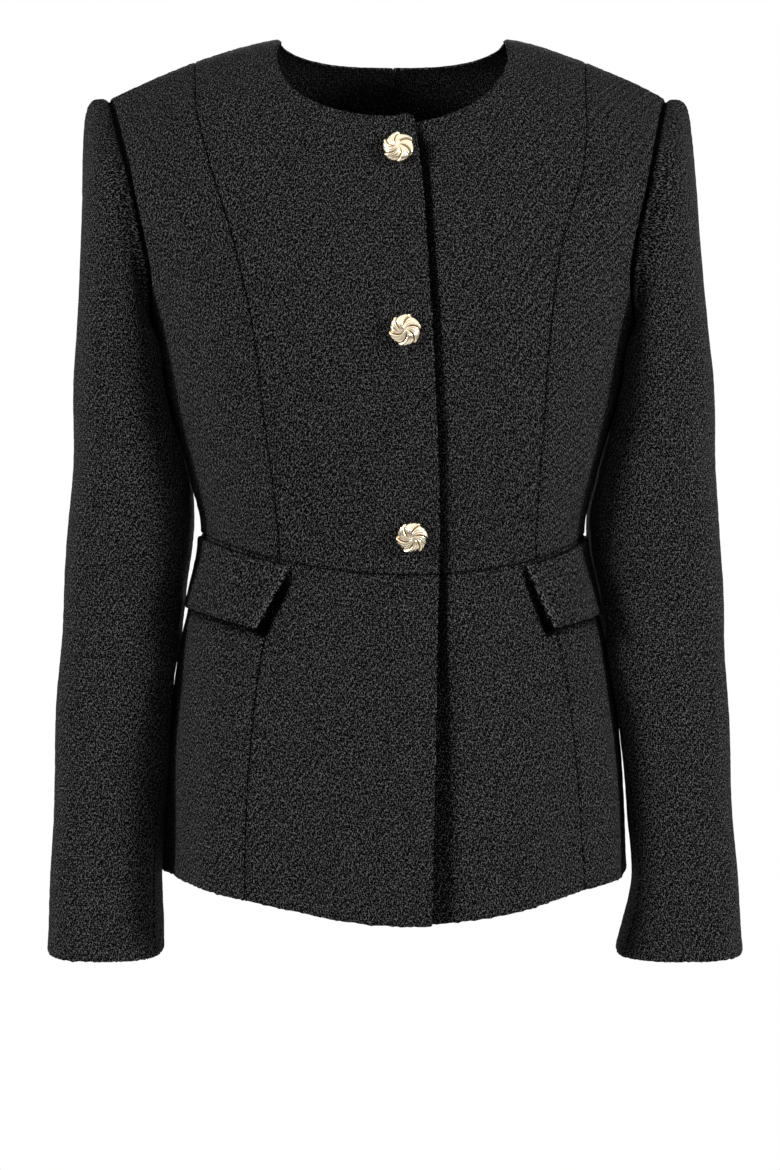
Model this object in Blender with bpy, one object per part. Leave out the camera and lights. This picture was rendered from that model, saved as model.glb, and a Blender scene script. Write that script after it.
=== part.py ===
"""Collarless blazer with a flared peplum: a hollow form of cut cloth panels, set-in sleeves,
two pocket flaps and three swirl buttons.

Sizes are in millimetres and angles in degrees; MM turns the sizes into metres in the meshes.
The origin lies between the two shoulder seams, level with their neck ends. +Z is up and the
front faces -Y. Right and left are the garment's own, so its right side lies at -X.
"""
import bmesh
import bpy
import numpy as np

# Cloth and seams
MM = 0.001
WALL = 2.0
SEAM_GAP = 0.3
LAP_SINK = 2.7
LAP_SINK_TOP = 0.6
LAP_FADE = 10.0
LAP_FLARE = 8.0
LAP_FLARE_WIDTH = 16.0

# Neck and shoulders
SHOULDER_TIP = 200.0
SHOULDER_FALL = 42.5
SHOULDER_CURVE = 1.35
SHOULDER_SHIFT = -4.0
NECK_HALF = 82.0
NECK_CENTRE_Z = -12.0
NECK_HEIGHT = 50.0
NECK_POWER = 2.15
NECK_PAST_CENTRE = 97.0
BACK_NECK_DROP = 15.0
BACK_NECK_FALL = 1.3
BACK_NECK_WIDE = 0.8
SQUARE = 0.10

# Sections of the body from the shoulder line to the hem, with the angles of the front seams
RING_COLUMNS = ("z", "half_width", "front", "back", "dip", "turn", "drop", "lap", "seam_right", "seam_left")
RINGS = np.array((
    (0, 200, 0, 0, 0, 0.0, 1.00, 2.0, 41.5, 41.5),
    (-5, 201, 25, 34, 0, 0.0, 1.00, 2.0, 40.9, 40.9),
    (-18, 203, 48, 62, 0, 0.0, 0.95, 2.0, 40.0, 40.0),
    (-38, 205, 71, 79, 0, 0.0, 0.80, 2.0, 39.2, 39.2),
    (-62, 207, 86, 89, 0, 0.5, 0.55, 2.4, 38.0, 38.0),
    (-100, 206, 102, 97, 0, 1.2, 0.25, 3.7, 35.8, 35.8),
    (-150, 195, 117, 101, 0, 1.8, 0.06, 4.8, 33.7, 32.5),
    (-207, 174, 127, 101, 2, 2.4, 0.00, 6.1, 33.8, 33.8),
    (-262, 161, 120, 96, 10, 3.4, 0.00, 7.0, 34.8, 34.8),
    (-310, 147, 108, 90, 20, 4.4, 0.00, 7.5, 36.4, 36.6),
    (-354, 137.5, 100, 85, 27, 5.0, 0.00, 7.0, 37.7, 39.0),
    (-400, 146, 108, 100, 27, 4.3, 0.00, 6.6, 38.6, 43.0),
    (-450, 157, 118, 115, 27, 3.7, 0.00, 6.2, 38.3, 44.2),
    (-520, 165, 128, 129, 26, 3.1, 0.00, 5.8, 37.8, 45.4),
    (-596, 168, 135, 140, 26, 2.7, 0.00, 5.6, 37.5, 47.0),
), float)
WAIST_RING = 10.0
HEM_RING = 14.0
HEM_POINT = 2.0
SIDE_ANGLE = 96.0

# Armhole edge from the underarm to the shoulder tip: angles on the front of each side and on the back
ARMHOLE_COLUMNS = ("ring", "front_right", "front_left", "back")
ARMHOLE = np.array((
    (7.14, 96.0, 96.0, 96.0),
    (6.94, 80.5, 75.0, 105.5),
    (6.54, 68.8, 62.0, 113.0),
    (6.00, 62.6, 56.4, 118.0),
    (5.00, 61.3, 57.2, 119.5),
    (4.00, 63.8, 61.6, 118.0),
    (3.00, 67.2, 66.6, 115.5),
    (2.00, 71.8, 72.0, 111.5),
    (1.00, 78.5, 79.0, 104.5),
    (0.00, 90.0, 90.0, 90.0),
), float)

# Soft folds in the body: angle, width in degrees, depth, and the rings where each starts, peaks and ends
FOLD_COLUMNS = ("angle", "width", "depth", "start", "peak", "end")
FOLDS = np.array((
    (-47, 9, 7, 11.0, 14.0, 20),
    (-24, 8, -5, 10.6, 14.0, 20),
    (27, 9, 5, 10.8, 14.0, 20),
    (60, 10, 6, 11.0, 14.0, 20),
    (-78, 10, -5, 11.2, 14.0, 20),
    (118, 10, 9, 10.4, 14.0, 20),
    (-121, 11, 8, 10.4, 14.0, 20),
    (147, 9, -8, 10.5, 14.0, 20),
    (-150, 10, -9, 10.5, 14.0, 20),
    (168, 8, 7, 10.8, 14.0, 20),
    (-172, 7, 6, 10.9, 14.0, 20),
    (44, 5, 2.5, 4.0, 5.4, 6.8),
    (140, 12, -3, 8.4, 9.3, 10.0),
    (-138, 11, -3, 8.2, 9.2, 10.0),
), float)

# Sleeve sections below the sleeve head: outer and inner reach on each side, half depth, centre
SLEEVE_COLUMNS = ("z", "outer_right", "inner_right", "outer_left", "inner_left", "half_depth", "centre_y")
SLEEVES = np.array((
    (-240, 229, 158, 230, 158, 75, 4),
    (-285, 231, 150, 233, 150, 72, 5),
    (-322, 233, 145, 235, 142, 68, 6),
    (-360, 235, 147, 236, 142, 62, 5),
    (-400, 237, 151, 238, 147, 56, 2),
    (-440, 239, 156, 239, 153, 52, -5),
    (-490, 242, 161, 241, 162, 49, -14),
    (-545, 243, 164, 243, 168, 47, -24),
    (-600, 245, 164.5, 246, 170, 46, -34),
    (-650, 246, 163, 249, 158, 46, -40),
), float)
SLEEVE_ROWS = 18
CUFF_TILT = 3.0
SLEEVE_SQUARE = 0.18
# Sleeves press softly against the body: the room left there, more at the underarm, none below the hem
SLEEVE_CLEAR = 0.9
SLEEVE_CLEAR_TOP = 2.4
SLEEVE_CLEAR_FADE = 45.0
SLEEVE_SOFT = 2.0
SLEEVE_FREE = 10.0
SLEEVE_FREE_RUN = 40.0
FLAP_ROOM = 4.6
FLAP_ROOM_FADE = 0.35
FLAP_ROOM_BELOW = 0.21
REACH_FIRST = 40.0
REACH_LAST = 140.0

# Sleeve head by its place between underarm and tip: rise from the body, and reach of the roll
HEAD_COLUMNS = ("place", "rise", "reach")
HEAD = np.array((
    (0.00, 84, 8),
    (0.25, 75, 12),
    (0.50, 50, 17),
    (0.75, 52, 22),
    (1.00, 58, 27),
), float)
HEAD_STEPS = (0.07, 0.16, 0.28, 0.43, 0.61, 0.80, 1.0)
HEAD_HANG = 0.95
HEAD_TAPER = {"right": 11.0, "left": 20.0}

# Broad folds in the sleeves: height, angle round the sleeve, half height, half width, depth
SLEEVE_FOLD_COLUMNS = ("z", "angle", "half_height", "half_width", "depth")
SLEEVE_FOLDS = np.array((
    (-392, -35, 26, 55, -4),
    (-448, -20, 24, 60, 3),
    (-352, 200, 30, 50, 3),
    (-300, 60, 34, 45, -3),
    (-560, 20, 34, 50, -3),
), float)

# Pocket flaps set in the waist seam
FLAP_FRONT_TOP = 34.0
FLAP_FRONT_BOTTOM = 40.5
FLAP_SIDE = 93.0
FLAP_TOP_RING = 10.04
FLAP_BOTTOM_RING = 11.14
FLAP_SIDE_DROP = {"right": 0.0, "left": 0.14}
FLAP_LIFT_TOP = 0.6
FLAP_LIFT_BOTTOM = 7.5
FLAP_LIFT_SIDE = 1.8
FLAP_LIFT_RUN = 0.72
FLAP_LIFT_POWER = 0.55
FLAP_COLUMNS = 9
FLAP_ROWS = 5

# Buttons on the centre front
BUTTON_HEIGHTS = {"button_top": -83.0, "button_middle": -211.5, "button_waist": -354.0}
BUTTON_TURNS = {"button_top": 20.0, "button_middle": -1.0, "button_waist": -10.0}
BUTTON_RADIUS = 11.5
BUTTON_DOME = 4.6
BUTTON_RIM = 1.6
BUTTON_LIFT = 1.6
SHANK_RADIUS = 4.0
SWIRL_PETALS = 6
SWIRL_RELIEF = 1.6
SWIRL_RIM_RELIEF = 0.9
SWIRL_TURN = 70.0
SWIRL_PEAK = 0.8
BUTTON_SIDES = 48
BUTTON_RINGS = (1.0, 0.82, 0.62, 0.42, 0.22)

# Rows and columns of the panels
BODY_ROWS = 20
NECK_CORNER_ROW = 13
UNDERARM_ROW = 9
BACK_NECK_ROW = 15
FRONT_COLUMNS = 7
SIDE_COLUMNS = 7
PEPLUM_ROWS = 9
TOP_SPREAD = 6
# Rows of each panel that are sewn along its low and its high column, all of them where none is named
SEAM_ROWS = {
    "front": (0, None),
    "side_front": (None, UNDERARM_ROW + 1),
    "back": (UNDERARM_ROW + 1, BACK_NECK_ROW + 1),
    "peplum_front": (0, None),
    "peplum_side": (None, None),
    "peplum_back": (None, None),
}
UNDER_SLEEVE_FRONT = 2
UNDER_SLEEVE_BACK = 5

# Fine steps along curves that are measured, and a place inside the body as shares and a drop
FINE_STEPS = 1400
INSIDE_SHARES = (0.6, 0.0, 1.0)
INSIDE_DROP = (0.0, 0.0, 60.0)

# Colours and roughness of the cloth and of the buttons
CLOTH_COLOUR = (0.022, 0.022, 0.024, 1.0)
CLOTH_ROUGHNESS = 0.9
GOLD_COLOUR = (0.83, 0.64, 0.33, 1.0)
GOLD_ROUGHNESS = 0.25
SIDES = {"right": -1.0, "left": 1.0}


def column(table, columns, name):
    """One named column of a table."""
    return table[:, columns.index(name)]


def cubic(values, slopes, place):
    """Smooth curve through evenly spaced values with given slopes."""
    place = np.asarray(place, float)
    index = np.clip(np.floor(place), 0, len(values) - 2).astype(int)
    part = place - index
    start, end = values[index], values[index + 1]
    square, cube = part ** 2, part ** 3
    return (start * (2 * cube - 3 * square + 1) + slopes[index] * (cube - 2 * square + part)
            + end * (3 * square - 2 * cube) + slopes[index + 1] * (cube - square))


def slopes_of(values, first=0.0):
    """Slopes of a smooth curve, with a chosen slope at its start."""
    slopes = np.gradient(values)
    slopes[0] = first
    return slopes


def ring_value(name, ring):
    """A section size at any place between the rings; the two depths leave the shoulder line level."""
    values = column(RINGS, RING_COLUMNS, name)
    first = values[1] if name in ("front", "back") else 0.0
    return cubic(values, slopes_of(values, first), ring)


def smooth(value):
    """Soft step from 0 to 1."""
    value = np.clip(value, 0.0, 1.0)
    return value * value * (3 - 2 * value)


def across(angle):
    """Sideways reach of a section at an angle from its front, as a share of its half width."""
    turn = np.radians(angle)
    return np.sin(turn) * (1 + SQUARE * np.cos(turn) ** 2)


def angle_across(share):
    """Angle from the front at a sideways share."""
    angles = np.linspace(-90, 90, 4 * FINE_STEPS + 1)
    return np.interp(share, across(angles), angles)


def angle_between(angle, place):
    """Turn from a place to an angle, the short way round."""
    return (angle - place + 180) % 360 - 180


def fold_depth(angle, ring):
    """How far the folds move the cloth outwards."""
    total = np.zeros(np.broadcast(angle, ring).shape)
    for row in FOLDS:
        fold = dict(zip(FOLD_COLUMNS, row))
        away = angle_between(angle, fold["angle"])
        rise = smooth((ring - fold["start"]) / (fold["peak"] - fold["start"]))
        fall = smooth((ring - fold["peak"]) / (fold["end"] - fold["peak"]))
        total += fold["depth"] * rise * (1 - fall) * np.exp(-(away / fold["width"]) ** 2)
    return total


def body_form(angle, ring):
    """Point of the worn form at an angle from the centre front and a place between the rings."""
    angle, ring = np.broadcast_arrays(np.asarray(angle, float), np.asarray(ring, float))
    turned = np.radians(angle + ring_value("turn", ring))
    sine, cosine = np.sin(turned), np.cos(turned)
    half = ring_value("half_width", ring)
    depth = np.where(cosine > 0, ring_value("front", ring), ring_value("back", ring))
    fold = fold_depth(angle, ring)
    x = half * sine * (1 + SQUARE * cosine ** 2) + fold * sine
    y = -depth * cosine * (1 + SQUARE * sine ** 2) - fold * cosine
    slope = np.clip((np.abs(x) - NECK_HALF) / (SHOULDER_TIP - NECK_HALF), 0, None) ** SHOULDER_CURVE
    below = np.clip((ring - WAIST_RING) / (HEM_RING - WAIST_RING), 0, 1)
    point = 2 + HEM_POINT * below
    x = x + SHOULDER_SHIFT * ring_value("drop", ring) * (x / half) ** 2
    dip = ring_value("dip", ring) * np.clip(np.cos(np.radians(angle)), 0, None) ** point
    z = ring_value("z", ring) - ring_value("drop", ring) * SHOULDER_FALL * slope - dip
    return np.stack((x, y, z), axis=-1)


def lap_shift(side, angle, ring):
    """The left front sinks under the right one, whose edge flares away below the waist."""
    lap = ring_value("lap", ring)
    below = np.clip((ring - WAIST_RING) / (HEM_RING - WAIST_RING), 0, 1)
    if side > 0:
        sink = LAP_SINK * (1 + LAP_SINK_TOP * ring_value("drop", ring))
        return sink * (1 - smooth((angle - lap) / LAP_FADE))
    return -LAP_FLARE * below * (1 - smooth((angle + lap) / LAP_FLARE_WIDTH))


def front_form(side, angle, ring):
    """Point of a front panel, with its angle counted towards its own side."""
    points = body_form(side * angle, ring)
    points[..., 1] += lap_shift(side, angle, ring)
    return points


def even_steps(points_at, start, end, count):
    """Places along a curve that part it into stretches of equal length."""
    fine = np.linspace(start, end, FINE_STEPS)
    points = points_at(fine)
    lengths = np.linalg.norm(np.diff(points, axis=0), axis=1)
    run = np.concatenate(([0.0], np.cumsum(lengths)))
    return np.interp(np.linspace(0, run[-1], count + 1), run, fine)


def ring_at_height(height):
    """Place between the rings of a height near the centre of the body."""
    rings = np.linspace(0, HEM_RING, FINE_STEPS + 1)
    return np.interp(-height, -ring_value("z", rings), rings)


def front_neck(turn):
    """Angle and ring of the front neck edge; turn 90 is the centre front."""
    cosine, sine = np.cos(np.radians(turn)), np.sin(np.radians(turn))
    power = 2 / NECK_POWER
    x = NECK_HALF * np.sign(cosine) * np.abs(cosine) ** power
    ring = ring_at_height(np.minimum(NECK_CENTRE_Z - NECK_HEIGHT * np.sign(sine) * np.abs(sine) ** power, 0))
    return angle_across(x / ring_value("half_width", ring)), ring


def neck_start():
    """Turn of the front neck edge where it meets the shoulder seam."""
    return -np.degrees(np.arcsin((-NECK_CENTRE_Z / NECK_HEIGHT) ** (NECK_POWER / 2)))


def back_neck(turn):
    """Angle and ring of the back neck edge; turn 0 is the shoulder seam and 90 the centre back."""
    cosine, sine = np.cos(np.radians(turn)), np.sin(np.radians(turn))
    start_angle = front_neck(neck_start())[0]
    ring = ring_at_height(-BACK_NECK_DROP * sine ** BACK_NECK_FALL)
    share = across(start_angle) * np.clip(cosine, 0, None) ** BACK_NECK_WIDE
    return 180 - angle_across(share), ring


def armhole(place, face):
    """Angle and ring of the armhole edge; place 0 is the underarm and the last row the tip."""
    rings = column(ARMHOLE, ARMHOLE_COLUMNS, "ring")
    angles = column(ARMHOLE, ARMHOLE_COLUMNS, face)
    return (cubic(angles, np.gradient(angles), place), cubic(rings, np.gradient(rings), place))


def path_rows(curves, counts):
    """Angles and rings along joined curves, each split into its own number of equal rows."""
    angles, rings = [], []
    for (curve, start, end), count in zip(curves, counts):
        steps = even_steps(lambda place: body_form(*curve(place)), start, end, count)
        angle, ring = curve(steps)
        first = 1 if angles else 0
        angles.extend(np.broadcast_to(angle, ring.shape)[first:])
        rings.extend(ring[first:])
    return np.array(angles), np.array(rings)


def lap_edge():
    """Front edge of a front panel from the waist to the neck corner, then the neck edge."""
    corner_ring = front_neck(NECK_PAST_CENTRE)[1]
    corner_angle = front_neck(NECK_PAST_CENTRE)[0]
    slack = corner_angle + ring_value("lap", corner_ring)

    def edge(ring):
        fade = smooth((WAIST_RING - ring) / (WAIST_RING - corner_ring))
        return -ring_value("lap", ring) + slack * fade, ring

    curves = ((edge, WAIST_RING, corner_ring), (front_neck, NECK_PAST_CENTRE, neck_start()))
    return path_rows(curves, (NECK_CORNER_ROW, BODY_ROWS - NECK_CORNER_ROW))


def princess_seam(side_name):
    """Seam from the waist up the front to the shoulder."""
    def seam(ring):
        return ring_value(f"seam_{side_name}", ring), ring
    return path_rows(((seam, WAIST_RING, 0.0),), (BODY_ROWS,))


def side_edge(face):
    """Side seam from the waist to the underarm, then the armhole edge up to the shoulder tip."""
    def seam(ring):
        return np.full_like(ring, SIDE_ANGLE), ring

    def hole(place):
        return armhole(place, face)
    curves = ((seam, WAIST_RING, ARMHOLE[0, 0]), (hole, 0.0, len(ARMHOLE) - 1.0))
    return path_rows(curves, (UNDERARM_ROW, BODY_ROWS - UNDERARM_ROW))


def centre_back():
    """Centre back seam from the waist to the neck, then the back neck edge."""
    def seam(ring):
        return np.full_like(ring, 180.0), ring
    top = back_neck(90.0)[1]
    curves = ((seam, WAIST_RING, top), (back_neck, 90.0, 0.0))
    return path_rows(curves, (BACK_NECK_ROW, BODY_ROWS - BACK_NECK_ROW))


def shoulder_angles(columns, start, end):
    """Angles along the shoulder seam at even steps in width, given as shares of the half width."""
    return angle_across(np.linspace(start, end, columns + 1))


def spread(low_edge, high_edge, top_angles):
    """Angles and rings of a panel's grid between its two edges, matched to the shoulder seam at the top."""
    count = len(top_angles)
    top = (top_angles - top_angles[0]) / (top_angles[-1] - top_angles[0])
    even = np.linspace(0, 1, count)
    share = (np.linspace(0, 1, BODY_ROWS + 1) ** TOP_SPREAD)[:, None]
    weights = even * (1 - share) + top * share
    angles = low_edge[0][:, None] * (1 - weights) + high_edge[0][:, None] * weights
    level = smooth(weights)
    rings = low_edge[1][:, None] * (1 - level) + high_edge[1][:, None] * level
    return angles, rings


def body_grids(side_name):
    """Outer points of the body panels of one side, above and below the waist seam."""
    side = SIDES[side_name]
    neck_share = across(front_neck(neck_start())[0])
    seam_share = across(ring_value(f"seam_{side_name}", 0.0))
    front_top = shoulder_angles(FRONT_COLUMNS, neck_share, seam_share)
    side_top = shoulder_angles(SIDE_COLUMNS, seam_share, 1.0)
    back_top = 180 - np.concatenate((side_top[::-1], front_top[-2::-1]))
    grids = {}
    angles, rings = spread(lap_edge(), princess_seam(side_name), front_top)
    grids["front"] = front_form(side, angles, rings)
    angles, rings = spread(princess_seam(side_name), side_edge(f"front_{side_name}"), side_top)
    grids["side_front"] = front_form(side, angles, rings)
    angles, rings = spread(side_edge("back"), centre_back(), back_top)
    grids["back"] = body_form(side * angles, rings)

    rings = np.linspace(HEM_RING, WAIST_RING, PEPLUM_ROWS + 1)[:, None]
    lap, princess = ring_value("lap", rings), ring_value(f"seam_{side_name}", rings)
    share = np.linspace(0, 1, FRONT_COLUMNS + 1)
    grids["peplum_front"] = front_form(side, -lap * (1 - share) + princess * share, rings)
    share = np.linspace(0, 1, SIDE_COLUMNS + 1)
    grids["peplum_side"] = front_form(side, princess * (1 - share) + SIDE_ANGLE * share, rings)
    share = np.linspace(0, 1, FRONT_COLUMNS + SIDE_COLUMNS + 1)
    grids["peplum_back"] = body_form(side * (SIDE_ANGLE * (1 - share) + 180 * share), rings)
    return grids


def face_normals(grid):
    """Normals of a grid's cells."""
    down = grid[1:, 1:] - grid[:-1, :-1]
    up = grid[1:, :-1] - grid[:-1, 1:]
    return np.cross(down, up)


def shared_normals(grids, inside):
    """Outward vertex normals, shared where neighbouring panels meet."""
    sums = {}
    for name, grid in grids.items():
        normals = face_normals(grid)
        middles = (grid[1:, 1:] + grid[:-1, :-1]) / 2
        if np.sum(normals * (middles - inside(middles))) < 0:
            normals = -normals
        for row, line in enumerate(normals):
            for step, normal in enumerate(line):
                for corner in ((row, step), (row + 1, step), (row, step + 1), (row + 1, step + 1)):
                    key = tuple(np.round(grid[corner], 3))
                    sums[key] = sums.get(key, 0) + normal
    return {name: unit(np.array([[sums[tuple(np.round(point, 3))] for point in line] for line in grid]))
            for name, grid in grids.items()}


def unit(vectors):
    """Vectors of length one."""
    return vectors / np.linalg.norm(vectors, axis=-1, keepdims=True)


def body_inside(points):
    """A place well inside the body for each of its points."""
    return points * INSIDE_SHARES - INSIDE_DROP


def half_gap(edge, inward):
    """Shift of an edge by half a seam gap, square to its line."""
    along = unit(np.gradient(edge, axis=0))
    square = inward - np.sum(inward * along, axis=-1, keepdims=True) * along
    return SEAM_GAP / 2 * unit(square)


def trim(grid, low_row=0, high_row=0, low_column=0, high_column=0, column_rows=None):
    """In-surface shift that parts a panel from its neighbours by half a seam gap on the marked edges."""
    shift = np.zeros_like(grid)
    rows = slice(0, column_rows)
    if low_row:
        shift[0] += half_gap(grid[0], grid[1] - grid[0])
    if high_row:
        shift[-1] += half_gap(grid[-1], grid[-2] - grid[-1])
    if low_column:
        shift[rows, 0] += half_gap(grid[rows, 0], grid[rows, 1] - grid[rows, 0])
    if high_column:
        shift[rows, -1] += half_gap(grid[rows, -1], grid[rows, -2] - grid[rows, -1])
    return shift


def material(name, colour, roughness, metallic):
    """One finish for one piece."""
    finish = bpy.data.materials.new(name)
    finish.use_nodes = True
    shader = finish.node_tree.nodes["Principled BSDF"]
    shader.inputs["Base Color"].default_value = colour
    shader.inputs["Roughness"].default_value = roughness
    shader.inputs["Metallic"].default_value = metallic
    return finish


def add_object(name, points, faces, finish):
    """A closed solid from points in millimetres."""
    mesh = bpy.data.meshes.new(name)
    mesh.from_pydata((np.asarray(points) * MM).tolist(), [], faces)
    work = bmesh.new()
    work.from_mesh(mesh)
    bmesh.ops.recalc_face_normals(work, faces=work.faces)
    work.to_mesh(mesh)
    work.free()
    mesh.shade_smooth()
    mesh.materials.append(finish)
    piece = bpy.data.objects.new(name, mesh)
    bpy.context.collection.objects.link(piece)


def add_wall(name, outer, inner):
    """A cloth piece: two grids of points closed by a rim, which is parted alike on both sides of a seam."""
    rows, columns = outer.shape[:2]
    points = np.concatenate((outer.reshape(-1, 3), inner.reshape(-1, 3)))
    place = np.arange(rows * columns).reshape(rows, columns)
    behind = rows * columns
    faces = []
    for row in range(rows - 1):
        for step in range(columns - 1):
            quad = [place[row, step], place[row, step + 1], place[row + 1, step + 1], place[row + 1, step]]
            faces.append([int(corner) for corner in quad])
            faces.append([int(corner) + behind for corner in reversed(quad)])
    rim = np.concatenate((place[0, :-1], place[:-1, -1], place[-1, :0:-1], place[:0:-1, 0]))
    for start, end in zip(rim, np.roll(rim, -1)):
        quad = [int(end), int(start), int(start) + behind, int(end) + behind]
        faces.append(quad if start < end else quad[1:] + quad[:1])
    add_object(name, points, faces, material(name, CLOTH_COLOUR, CLOTH_ROUGHNESS, 0.0))


def add_panels(side_name, grids, normals):
    """The body panels of one side."""
    for name, grid in grids.items():
        waist = dict(high_row=1) if name.startswith("peplum") else dict(low_row=1, high_row=1)
        shift = trim(grid, **waist)
        low_rows, high_rows = SEAM_ROWS[name]
        if low_rows != 0:
            shift += trim(grid, low_column=1, column_rows=low_rows)
        shift += trim(grid, high_column=1, column_rows=high_rows)
        add_wall(f"{name}_{side_name}", grid + shift, grid + shift - WALL * normals[name])


def armhole_loop(grids, normals):
    """Outer points, normals and outward directions along the armhole, from the underarm over the front."""
    front = grids["side_front"][UNDERARM_ROW:, -1]
    back = grids["back"][UNDERARM_ROW + 1:-1, 0][::-1]
    loop = np.concatenate((front, back))
    front_normals = normals["side_front"][UNDERARM_ROW:, -1]
    back_normals = normals["back"][UNDERARM_ROW + 1:-1, 0][::-1]
    loop_normals = np.concatenate((front_normals, back_normals))
    along = np.roll(loop, -1, axis=0) - np.roll(loop, 1, axis=0)
    outward = unit(np.cross(along, loop_normals))
    centre = loop.mean(axis=0)
    if np.sum(outward * (centre - loop)) < 0:
        outward = -outward
    return loop, loop_normals, outward


def sleeve_fold(z, angle):
    """How far the folds move the sleeve outwards."""
    total = np.zeros(np.broadcast(z, angle).shape)
    for row in SLEEVE_FOLDS:
        fold = dict(zip(SLEEVE_FOLD_COLUMNS, row))
        away = angle_between(angle, fold["angle"]) / fold["half_width"]
        above = (z - fold["z"]) / fold["half_height"]
        total += fold["depth"] * np.exp(-above ** 2 - away ** 2)
    return total


def body_reach(side_name, y, z):
    """How far the body reaches sideways at a height for each depth, with room for the pocket flap."""
    angles = np.linspace(REACH_FIRST, REACH_LAST, FINE_STEPS)
    ring = ring_at_height(z)
    edge = body_form(SIDES[side_name] * angles, ring)
    above = smooth((ring - FLAP_TOP_RING) / FLAP_ROOM_FADE + 1)
    bottom = FLAP_BOTTOM_RING + FLAP_SIDE_DROP[side_name] + FLAP_ROOM_BELOW
    below = smooth((ring - bottom) / FLAP_ROOM_FADE)
    return np.interp(y, edge[:, 1], np.abs(edge[:, 0])) + FLAP_ROOM * above * (1 - below)


def sleeve_section(side_name, z, angles):
    """Points of the sleeve at a height, pressed against the body; angle -90 faces it and 0 the front."""
    heights = -column(SLEEVES, SLEEVE_COLUMNS, "z")
    place = np.interp(-z, heights, np.arange(len(heights)))

    def size(name):
        values = column(SLEEVES, SLEEVE_COLUMNS, name)
        return cubic(values, np.gradient(values), place)
    outer, inner = size(f"outer_{side_name}"), size(f"inner_{side_name}")
    turn = np.radians(angles)
    fold = sleeve_fold(z, angles)
    sine, cosine = np.sin(turn), np.cos(turn)
    x = (outer + inner) / 2 + ((outer - inner) / 2 + fold) * sine * (1 + SLEEVE_SQUARE * cosine ** 2)
    y = size("centre_y") - (size("half_depth") + fold) * cosine * (1 + SLEEVE_SQUARE * sine ** 2)
    clear = SLEEVE_CLEAR + SLEEVE_CLEAR_TOP * (1 - smooth((SLEEVES[0, 0] - z) / SLEEVE_CLEAR_FADE))
    free = SLEEVE_FREE * smooth((RINGS[-1, 0] - z) / SLEEVE_FREE_RUN)
    reach = body_reach(side_name, y, z) + clear - free
    x = reach + (x - reach + np.hypot(x - reach, SLEEVE_SOFT)) / 2
    low = np.clip((heights[0] + z) / (heights[0] - heights[-1]), 0, 1)
    dip = CUFF_TILT * low * cosine
    return np.stack(np.broadcast_arrays(SIDES[side_name] * x, y, z - dip), axis=-1)


def sleeve_grid(side_name, loop, normals, outward):
    """Outer points of a whole sleeve, ring by ring from the armhole to the cuff."""
    count = len(loop)
    angles = -90 + 360 * np.arange(count) / count
    place = 1 - np.abs(np.arange(count) - count / 2) / (count / 2)
    places = column(HEAD, HEAD_COLUMNS, "place")
    rise = np.radians(np.interp(place, places, column(HEAD, HEAD_COLUMNS, "rise")))[:, None]
    reach = np.interp(place, places, column(HEAD, HEAD_COLUMNS, "reach"))[:, None]
    start = loop + SEAM_GAP * outward
    leave = reach * (np.cos(rise) * outward + np.sin(rise) * normals)
    top = SLEEVES[0, 0]
    end = sleeve_section(side_name, top, angles)
    over = end.copy()
    over[:, 2] += HEAD_HANG * (start[:, 2] - end[:, 2])
    over[:, 0] -= SIDES[side_name] * HEAD_TAPER[side_name] * np.clip(np.sin(np.radians(angles)), 0, None)
    rings = [start]
    for step in HEAD_STEPS:
        rest = 1 - step
        rings.append(start * rest ** 3 + (start + leave) * 3 * step * rest ** 2
                     + over * 3 * step ** 2 * rest + end * step ** 3)
    for z in np.linspace(top, SLEEVES[-1, 0], SLEEVE_ROWS + 1)[1:]:
        rings.append(sleeve_section(side_name, z, angles))
    return np.array(rings)


def add_sleeve(side_name, grids, normals):
    """Upper and under sleeve of one side."""
    loop, loop_normals, outward = armhole_loop(grids, normals)
    tube = sleeve_grid(side_name, loop, loop_normals, outward)
    closed = np.concatenate((tube, tube[:, :1]), axis=1)

    def inside(points):
        return np.broadcast_to(points.mean(axis=1, keepdims=True), points.shape)
    tube_normals = shared_normals({"sleeve": closed}, inside)["sleeve"][:, :-1]
    inner = tube - WALL * tube_normals
    inner[0] = loop - WALL * loop_normals + SEAM_GAP * outward
    count = tube.shape[1]
    upper = np.arange(UNDER_SLEEVE_FRONT, count - UNDER_SLEEVE_BACK + 1)
    under = np.arange(-UNDER_SLEEVE_BACK, UNDER_SLEEVE_FRONT + 1)
    for name, columns in (("upper_sleeve", upper), ("under_sleeve", under)):
        outer = tube[:, columns]
        shift = trim(outer, low_column=1, high_column=1)
        add_wall(f"{name}_{side_name}", outer + shift, inner[:, columns] + shift)


def add_flap(side_name):
    """A pocket flap made from the peplum's points, moved out."""
    side = SIDES[side_name]
    down = np.linspace(0, 1, FLAP_ROWS + 1)[:, None]
    share = np.linspace(0, 1, FLAP_COLUMNS + 1)
    front = FLAP_FRONT_TOP + (FLAP_FRONT_BOTTOM - FLAP_FRONT_TOP) * down
    rings = FLAP_TOP_RING + (FLAP_BOTTOM_RING + FLAP_SIDE_DROP[side_name] * share - FLAP_TOP_RING) * down
    base = front_form(side, front * (1 - share) + FLAP_SIDE * share, rings)
    normals = shared_normals({"flap": base}, body_inside)["flap"]
    bottom = FLAP_LIFT_BOTTOM + (FLAP_LIFT_SIDE - FLAP_LIFT_BOTTOM) * smooth(share / FLAP_LIFT_RUN)
    lift = (FLAP_LIFT_TOP + (bottom - FLAP_LIFT_TOP) * down ** FLAP_LIFT_POWER)[..., None]
    add_wall(f"flap_{side_name}", base + (lift + WALL) * normals, base + lift * normals)


def saw(turn):
    """Wave that rises slowly clockwise and falls fast, once for each petal."""
    part = (-turn * SWIRL_PETALS / 360.0) % 1.0
    return np.where(part < SWIRL_PEAK, part / SWIRL_PEAK, (1 - part) / (1 - SWIRL_PEAK))


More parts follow.
